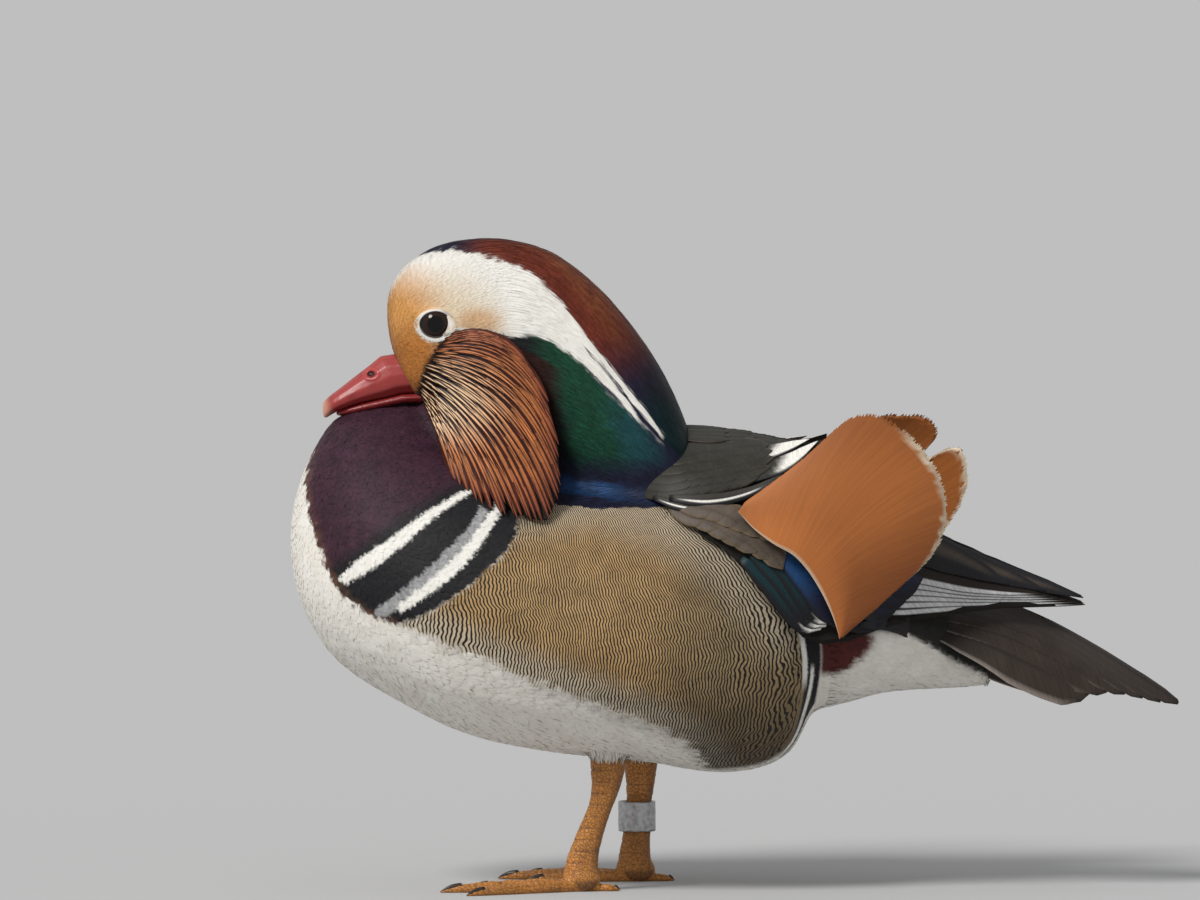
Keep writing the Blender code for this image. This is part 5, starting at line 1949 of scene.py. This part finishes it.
@dataclass
class Eye:
    """One eye: ball, lids and the ring of white feathers round it."""

    side: str
    radius: float = 6.9
    centre: tuple[float, float, float] = (13.6, -108.6, 205.9)
    opening: tuple[float, float] = (5.6, 4.75)
    points: int = 72

    def build(self, skin: Surface) -> None:
        """Makes the ball and its surroundings."""
        sign = SIDES[self.side]
        middle = Vector((self.centre[0] * sign, *self.centre[1:])) * MM
        shape = bmesh.new()
        turn = Matrix.Translation(middle) @ Matrix.Rotation(math.pi / 2, 4, "Y")
        bmesh.ops.create_uvsphere(shape, u_segments=64, v_segments=40, radius=self.radius * MM, matrix=turn)
        ball = settled(f"eyeball_{self.side}", shape, self.glass())
        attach(ball, "root")
        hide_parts(f"eye_{self.side}")
        self.lids(skin, sign)
        self.lashes(skin, sign)

    def glass(self) -> bpy.types.Material:
        """A wet, nearly black eye with a dark brown iris."""
        shader = Shader(f"eye_{self.side}", 0.05, IOR=1.34)
        parts = shader.node("SeparateXYZ")
        shader.feed(parts.inputs[0], shader.place())
        off = [shader.maths("SUBTRACT", parts.outputs[axis], self.centre[axis] * MM) for axis in (1, 2)]
        squares = [shader.maths("MULTIPLY", one, one) for one in off]
        reach = shader.maths("SQRT", shader.maths("ADD", *squares))
        iris = shader.spread(reach, 0.0028, 0.0032)
        rim = shader.spread(reach, 0.0044, 0.0050)
        colour = shader.mix(iris, (0.002, 0.002, 0.002), (0.020, 0.009, 0.005))
        return shader.paint(shader.mix(rim, colour, (0.003, 0.003, 0.003)))

    def around(self, count: int, grow: float, even: bool = True) -> tuple[Array, Array]:
        """Side points round the opening, which is pointed at its two corners.

        Args:
            count: How many points.
            grow: How far outside the opening they are, in mm.
            even: Whether they are as far outside it above as below.

        Returns:
            The points, and the way outward at each.
        """
        turn = np.linspace(0.0, 2.0 * math.pi, count, endpoint=False)
        corner = 1.0 + 0.10 * np.abs(np.cos(turn)) ** 10
        out = np.column_stack([np.cos(turn), np.sin(turn)])
        wide = np.full(count, grow) if even else grow * self.share_round(turn)
        reach = np.array(self.opening) * corner[:, None] + wide[:, None]
        return np.array(self.centre[1:]) + out * reach, out

    def share_round(self, turn: Array) -> Array:
        """How broad the white ring is round the eye: narrow above it."""
        return 1.0 - 0.55 * np.maximum(np.sin(turn), 0.0)

    def on_ball(self, flat: Array) -> Array:
        """How far out the ball is at side points."""
        off = np.linalg.norm(flat - np.array(self.centre[1:]), axis=1)
        return self.centre[0] + np.sqrt(np.maximum(self.radius**2 - off**2, 0.5))

    def on_skin(self, skin: Surface, flat: Array, sign: float) -> Array:
        """How far out the skin is at side points."""
        found = []
        for y, z in flat:
            hit = skin.tree.ray_cast(Vector((sign * 40.0, y, z)) * MM, Vector((-sign, 0.0, 0.0)))
            found.append(abs(hit[0].x) / MM if hit[0] else 12.0)
        return np.array(found)

    def lids(self, skin: Surface, sign: float) -> None:
        """A rounded rim that closes the gap between ball and skin."""
        count = self.points
        rings = []
        for grow, lift in ((-0.35, 0.02), (-0.15, 0.30), (0.2, 0.48), (0.65, 0.42)):
            flat, _ = self.around(count, grow)
            rings.append((flat, self.on_ball(flat) + lift))
        for grow, lift, share in ((0.95, 0.35, 0.6), (1.5, 0.10, 0.95), (2.4, -0.7, 1.0)):
            flat, _ = self.around(count, grow)
            inner = self.on_ball(self.around(count, 0.65)[0]) + 0.4
            rings.append((flat, inner * (1.0 - share) + (self.on_skin(skin, flat, sign) + lift) * share))
        rows = np.stack([np.column_stack([out * sign, flat]) for flat, out in rings], axis=0)
        rows = np.concatenate([rows, rows[:, :1]], axis=1)
        if sign < 0:
            rows = rows[:, ::-1]
        made = joined(f"eyelids_{self.side}", rows[None] * MM, self.rim())
        shape = bmesh.new()
        shape.from_mesh(made.data)
        bmesh.ops.remove_doubles(shape, verts=shape.verts, dist=1e-6)
        shape.to_mesh(made.data)
        shape.free()
        at = coordinates(made.data) / MM
        off = (at[:, 1:] - self.centre[1:]) / self.opening
        past = (np.linalg.norm(off, axis=1) - 1.0) * 5.2 / self.share_round(np.arctan2(off[:, 1], off[:, 0]))
        colours = blend((0.016, 0.012, 0.010), Tint.WHITE, ramp(past, 0.15, 0.55))
        face = MARKINGS.head(at, np.zeros(len(at)))
        write_tint(made.data, colours + (face - colours) * ramp(past, 1.2, 1.8)[:, None])
        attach(made, "root")

    def rim(self) -> bpy.types.Material:
        """Soft skin, dark at the lids' border."""
        shader = Shader("eyelid", 0.55)
        shader.bump(shader.noise(1500.0, 2.0), 0.0001, 0.5)
        return shader.paint(shader.tint())

    def lashes(self, skin: Surface, sign: float) -> None:
        """Short white feathers that stand round the lids."""
        rng = np.random.default_rng(14)
        places, tints = [], []
        for grow, count in ((0.40, 90), (0.70, 100), (1.00, 110)):
            flat, out = self.around(count, grow, even=False)
            flat = flat + rng.normal(0.0, 0.07, flat.shape)
            way = unit(out + rng.normal(0.0, 0.16, out.shape) + [0.35, 0.0])
            reach = np.linspace(0.0, 0.8, 4)
            grown = reach[None] * self.share_round(np.arctan2(out[:, 1], out[:, 0]))[:, None]
            line = flat[:, None] + way[:, None] * grown[..., None]
            half = 0.20 * np.array([0.8, 1.0, 0.7, 0.15])
            wide = (half[:, None] * [-1.0, 1.0])[None, ..., None]
            grid = line[:, :, None] + left_of(way)[:, None, None] * wide
            share = min((grow - 0.3) / 1.2, 1.0)
            ball = self.on_ball(self.around(count, 0.6)[0]) + 0.55
            base = ball * (1.0 - share) + (self.on_skin(skin, flat, sign) + 0.5) * share
            far = self.on_skin(skin, line[:, -1], sign) + 0.55
            rise = base[:, None] + (far - base)[:, None] * (reach / reach[-1])[None]
            out_x = np.broadcast_to(rise[:, :, None], grid.shape[:-1]) * sign
            places.append(np.concatenate([out_x[..., None], grid], axis=-1))
            tone = Tint.WHITE.rgb * rng.uniform(0.85, 1.05, count)[:, None]
            lower = blend(tone, Tint.CREAM, np.full(count, 0.4 * ramp(np.array(grow), 0.9, 1.3)))
            tints.append(np.broadcast_to(lower[:, None, None], (count, 4, 2, 3)))
        at, tint = np.concatenate(places), np.concatenate(tints)
        if sign > 0:
            at = at[:, :, ::-1]
        vane = cells((-1.0, 1.0), np.linspace(0.0, 1.0, 4))
        layout = skin.patch(at[:, 0, 0] * MM)
        plumage = Plumage("ring", 0.7).make()
        made = joined(f"eye_ring_{self.side}", at * MM, plumage, tint, layout, vane)
        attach(made, "root")


@dataclass(frozen=True)
class Toe:
    """One toe: its length in mm, how far it splays outward in degrees, and its thickness in mm."""

    length: float
    splay: float
    thick: float


@dataclass
class Foot:
    """One bare leg and webbed foot, scaled, with its claws."""

    side: str
    ankle: tuple[float, float]
    turn: float
    toes: tuple[Toe, ...] = (
        Toe(41.0, -17.0, 4.6), Toe(52.0, 3.0, 5.0), Toe(48.0, 24.0, 4.6), Toe(14.0, 172.0, 3.4)
    )
    ochre: tuple[float, float, float] = (0.50, 0.205, 0.040)
    umber: tuple[float, float, float] = (0.17, 0.070, 0.025)
    tufts: int = 420

    def way(self, toe: Toe) -> Array:
        """The way a toe points over the floor."""
        angle = math.radians(toe.splay + self.turn * SIDES[self.side])
        return np.array([math.sin(angle) * SIDES[self.side], -math.cos(angle)])

    def build(self, skin: Surface) -> None:
        """Melts leg and foot together and raises the scales."""
        nodes = (f"leg_{self.side}", f"foot_{self.side}")
        made = melted(f"shank_{self.side}", nodes, 0.0006, 0.00008, 3)
        at = coordinates(made.data) / MM
        facing = normals(made.data)
        groove, web, on_foot = self.scales(at, facing)
        above = ramp(at[:, 2], 0.3, 1.2)
        shift = (-0.30 * groove + 0.12 * grain(at, 2.0, 72) * (1.0 - web)) * above
        at += facing * shift[:, None]
        move(made.data, at * MM)
        tint = layered(
            self.ochre,
            (self.umber, 0.75 * groove + 0.35 * ramp(grain(at, 5.0, 73), 0.0, 0.8)),
            (np.array(self.umber) * 0.75, 0.7 * web * on_foot),
            # painted shade: the back of the leg, turned from the light, is darker
            (self.umber, 0.5 * ramp(facing[:, 1], 0.2, 0.8) * (1.0 - on_foot)),
        )
        write_tint(made.data, tint)
        made.data.materials.append(self.hide())
        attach(made, "root")
        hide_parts(*nodes)
        self.claws()
        self.garter(skin)

    def scales(self, at: Array, facing: Array) -> tuple[Array, Array, Array]:
        """How far each place is in a groove between scales, on a web, and on the foot."""
        near, scute, web = np.full(len(at), np.inf), np.zeros(len(at)), np.ones(len(at))
        for toe in self.toes:
            way = self.way(toe)
            off = at[:, :2] - self.ankle
            along = off @ way
            beside = np.abs(off @ left_of(way)) + 30.0 * (along < -1.0)
            closer = beside < near
            near = np.where(closer, beside, near)
            scute = np.where(closer, along, scute)
            web = np.where(beside < toe.thick * 0.62, 0.0, web)
        web = web * ramp(at[:, 2], 5.0, 3.0)
        on_foot = ramp(at[:, 2], 9.0, 6.0)
        ahead = ramp(-facing[:, 1] + 0.35 * np.abs(facing[:, 0]), 0.15, 0.5)
        rings = np.abs((at[:, 2] / 2.1 + 0.08 * grain(at, 4.0, 71)) % 1.0 - 0.5) * 2.0
        steps = np.abs((scute / 2.3) % 1.0 - 0.5) * 2.0
        over = ramp(facing[:, 2], 0.1, 0.5)
        groove = ramp(rings, 0.80, 1.0) * (1.0 - on_foot) * (0.35 + 0.65 * ahead)
        groove = np.maximum(groove, ramp(steps, 0.76, 1.0) * on_foot * over * (1.0 - web))
        return groove, web, on_foot

    def garter(self, skin: Surface) -> None:
        """Short pale feathers that hang from the belly round the top of the leg."""
        rng = np.random.default_rng(15)
        at = coordinates(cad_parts[f"leg_{self.side}"].data) / MM
        top = at[at[:, 2] > at[:, 2].max() - 6.0]
        middle = top.mean(axis=0)[:2]
        radius = np.linalg.norm(top[:, :2] - middle, axis=1).mean()
        count = self.tufts
        turn = rng.uniform(0.0, 2.0 * math.pi, count)
        out = np.column_stack([np.cos(turn), np.sin(turn), np.zeros(count)])
        base = np.array([*middle, 0.0]) + out * (radius + rng.uniform(0.2, 3.6, count))[:, None]
        base[:, 2] = top[:, 2].max()
        root, _ = skin.settle(base * MM)
        root = root / MM
        off = np.linalg.norm(root[:, :2] - middle, axis=1) - radius
        length = (rng.uniform(3.4, 6.0, count) * (0.55 + 0.45 * ramp(off, 3.5, 0.5)))[:, None]
        shares = np.linspace(0.0, 1.0, 5)
        lean = (0.8 * off / length[:, 0])[:, None]
        way = unit(np.array([0.0, 0.06, -1.0]) - lean * out + rng.normal(0.0, 0.05, (count, 3)))
        spine = root[:, None] + way[:, None] * (length * shares - 0.8)[..., None]
        side = np.stack([-out[:, 1], out[:, 0], out[:, 2]], axis=1)
        across = np.array([-1.0, 0.0, 1.0])
        half = 0.5 * Tip.POINTED.widths(shares)[None, :, None] * across
        places = spine[:, :, None] + side[:, None, None] * half[..., None]
        tone = rng.uniform(0.8, 1.0, count)[:, None] * Tint.BELLY.rgb
        tint = np.broadcast_to(tone[:, None, None], places.shape)
        layout = skin.patch(root * MM)
        plumage = Plumage("garter", 0.75, 0.05, 0.1).make()
        name = f"garter_{self.side}"
        made = joined(name, places * MM, plumage, tint, layout, cells(across, shares))
        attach(made, "root")

    def hide(self) -> bpy.types.Material:
        """Scaly bare skin."""
        shader = Shader("leg_hide", 0.48, Subsurface_Weight=0.05, Subsurface_Scale=0.002)
        cells = shader.node("TexVoronoi", feature="DISTANCE_TO_EDGE")
        shader.set(cells, Scale=780.0)
        shader.feed(cells.inputs["Vector"], shader.place())
        edge = shader.spread(cells.outputs["Distance"], 0.0, 0.12)
        shader.bump(edge, 0.00022, 0.7)
        tint = shader.tint()
        dark = shader.mix(1.0, tint, (0.55, 0.50, 0.45), "MULTIPLY")
        return shader.paint(shader.mix(edge, dark, tint))

    def claws(self) -> None:
        """A curved claw at the end of each toe."""
        shape = bmesh.new()
        for toe in self.toes:
            rings = [[shape.verts.new(spot) for spot in ring] for ring in self.claw(toe)]
            for one, two in zip(rings, rings[1:]):
                for k, corner in enumerate(one):
                    after = (k + 1) % len(one)
                    shape.faces.new((corner, one[after], two[after], two[k]))
            shape.faces.new(rings[0][::-1])
            shape.faces.new(rings[-1])
        bmesh.ops.recalc_face_normals(shape, faces=shape.faces)
        shader = Shader("claw_horn", 0.35)
        made = settled(f"claws_{self.side}", shape, shader.paint((0.030, 0.020, 0.014, 1.0)))
        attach(made, "root")

    def claw(self, toe: Toe, steps: int = 7, corners: int = 12) -> list[list[Vector]]:
        """Rings of places in metres from a claw's root to its point, none of them under the floor."""
        way = self.way(toe)
        size = toe.thick * 0.27
        tip = np.array([*(way * toe.length + self.ankle), 0.35])
        base = np.array([*(way * (toe.length - toe.length * 0.15) + self.ankle), toe.thick * 0.42])
        rings = []
        for share in np.linspace(0.0, 1.0, steps):
            middle = base + (tip - base) * share
            middle[2] += 0.9 * math.sin(math.pi * share) * size * 0.6
            radius = size * (1.0 - share) ** 0.7 + 0.10
            rings.append([])
            for turn in np.linspace(0.0, 2.0 * math.pi, corners, endpoint=False):
                beside = np.array([-way[1], way[0], 0.0]) * math.cos(turn) * radius * 0.8
                spot = middle + beside + np.array([0.0, 0.0, math.sin(turn) * radius])
                spot[2] = max(spot[2], 0.02)
                rings[-1].append(Vector(spot) * MM)
        return rings


@dataclass
class Ring:
    """The bare metal ring on the right leg, dented with wear."""

    centre: tuple[float, float] = (-24.0, -35.3)
    inner: float = 6.1
    wall: float = 0.8
    foot: float = 18.5
    height: float = 11.0

    def build(self) -> None:
        """Spins a rounded band and dents it."""
        shape = bmesh.new()
        low, high, near, far = self.foot, self.foot + self.height, self.inner, self.inner + self.wall
        steps = np.linspace(low + 0.3, high - 0.3, 22)
        outline = [(near, low + 0.3), (near + 0.25, low), (far - 0.25, low)]
        outline += [(far, z) for z in steps] + [(far - 0.25, high), (near + 0.25, high), (near, high - 0.3)]
        corners = [shape.verts.new(Vector((self.centre[0] + r, self.centre[1], z)) * MM) for r, z in outline]
        edges = [shape.edges.new(pair) for pair in zip(corners, corners[1:] + corners[:1])]
        axis = Vector((*self.centre, 0.0)) * MM
        bmesh.ops.spin(
            shape, geom=corners + edges, cent=axis, axis=(0, 0, 1), angle=2 * math.pi, steps=120,
            use_merge=True, use_duplicate=False,
        )
        bmesh.ops.remove_doubles(shape, verts=shape.verts, dist=1e-6)
        bmesh.ops.recalc_face_normals(shape, faces=shape.faces)
        made = settled("ring_band", shape, self.metal())
        at = coordinates(made.data) / MM
        off = at[:, :2] - self.centre
        reach = np.linalg.norm(off, axis=1)
        outer = reach > self.inner + 0.5 * self.wall
        dents = 0.16 * ramp(grain(at, 1.5, 81), 0.1, 0.7) + 0.10 * ramp(grain(at, 3.2, 82), 0.0, 0.8)
        turn = np.arctan2(off[:, 1], off[:, 0])
        seam = 0.35 * ramp(np.abs(turn + 1.9) * self.inner, 0.45, 0.15)
        shift = -(dents + seam) * outer * ramp(np.abs(at[:, 2] - self.foot - self.height / 2), 5.6, 5.0)
        at[:, :2] += off / reach[:, None] * shift[:, None]
        move(made.data, at * MM)
        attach(made, "root")
        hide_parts("leg_ring")

    def metal(self) -> bpy.types.Material:
        """Dull aluminium, scuffed."""
        shader = Shader("ring_metal", 0.38, Metallic=1.0)
        worn = shader.noise(600.0, 4.0)
        shader.feed(shader.bsdf.inputs["Roughness"], shader.spread(worn, 0.3, 0.7, 0.28, 0.5))
        shader.bump(shader.noise(1400.0, 3.0), 0.0001, 0.5)
        pale = shader.spread(worn, 0.3, 0.7)
        return shader.paint(shader.mix(pale, (0.30, 0.30, 0.31), (0.55, 0.55, 0.56)))


# --------------------------------------------------------------------------- studio


@dataclass(frozen=True)
class Studio:
    """A pale floor without a visible end, soft light, and a camera on the bird's left side."""

    centre: tuple[float, float, float] = (0.0, -0.0489, 0.1595)
    distance: float = 3.65
    height: float = 2.0
    lens: float = 300.0
    floor: float = 400.0
    tone: tuple[float, float, float] = (0.483, 0.487, 0.493)
    sun: float = 2.5
    sun_from: tuple[float, float, float] = (1.0, -0.95, 1.35)
    sky: float = 0.52

    def build(self) -> None:
        """Lays the floor, sets the lights and the camera."""
        shader = Shader("floor", 1.0, Specular_IOR_Level=0.0)
        shape = bmesh.new()
        bmesh.ops.create_grid(shape, x_segments=1, y_segments=1, size=self.floor / 2.0)
        settled("floor", shape, shader.paint((*self.tone, 1.0)))
        lamp = bpy.data.lights.new("key", "SUN")
        lamp.energy, lamp.angle, lamp.color = self.sun, math.radians(20.0), (1.0, 0.985, 0.96)
        made = bpy.data.objects.new("key", lamp)
        made.rotation_euler = Vector(self.sun_from).to_track_quat("Z", "Y").to_euler()
        bpy.context.scene.collection.objects.link(made)
        world = bpy.data.worlds.new("studio")
        world.use_nodes = True
        sky = world.node_tree.nodes["Background"]
        sky.inputs["Color"].default_value = (1.0, 1.0, 1.0, 1.0)
        sky.inputs["Strength"].default_value = self.sky
        bpy.context.scene.world = world
        self.camera()
        bpy.context.scene.view_settings.view_transform = "Standard"

    def camera(self) -> None:
        """Sets the camera a little above level, square to the bird's left side."""
        lens = bpy.data.cameras.new("camera")
        lens.lens, lens.sensor_width, lens.clip_end = self.lens, 36.0, 1000.0
        made = bpy.data.objects.new("camera", lens)
        turn = math.radians(self.height)
        away = Vector((math.cos(turn), 0.0, math.sin(turn))) * self.distance
        made.location = Vector(self.centre) + away
        made.rotation_euler = (-away).to_track_quat("-Z", "Y").to_euler()
        bpy.context.scene.collection.objects.link(made)
        bpy.context.scene.camera = made


def main() -> None:
    """Builds every piece in order."""
    logging.basicConfig(level=logging.INFO, format="%(name)s: %(message)s")
    skin = Skin().build()
    LOG.info("skin: %d faces", len(skin.data.polygons))
    surface = Surface(skin)
    for coat in COATS:
        coat.build(surface)
    for side in SIDES:
        Wing(side).build()
        Scapulars(side).build()
        Ruff(side).build(surface)
    Mantle().build()
    Sail("left").build()
    Sail("right", 11.0, 5.0).build()
    Tail().build()
    Bill().build()
    for side in SIDES:
        Eye(side).build(surface)
    Foot("left", (23.0, -55.5), 6.0).build(surface)
    Foot("right", (-24.0, -35.5), -7.0).build(surface)
    Ring().build()
    Studio().build()


if __name__ == "__main__":
    main()
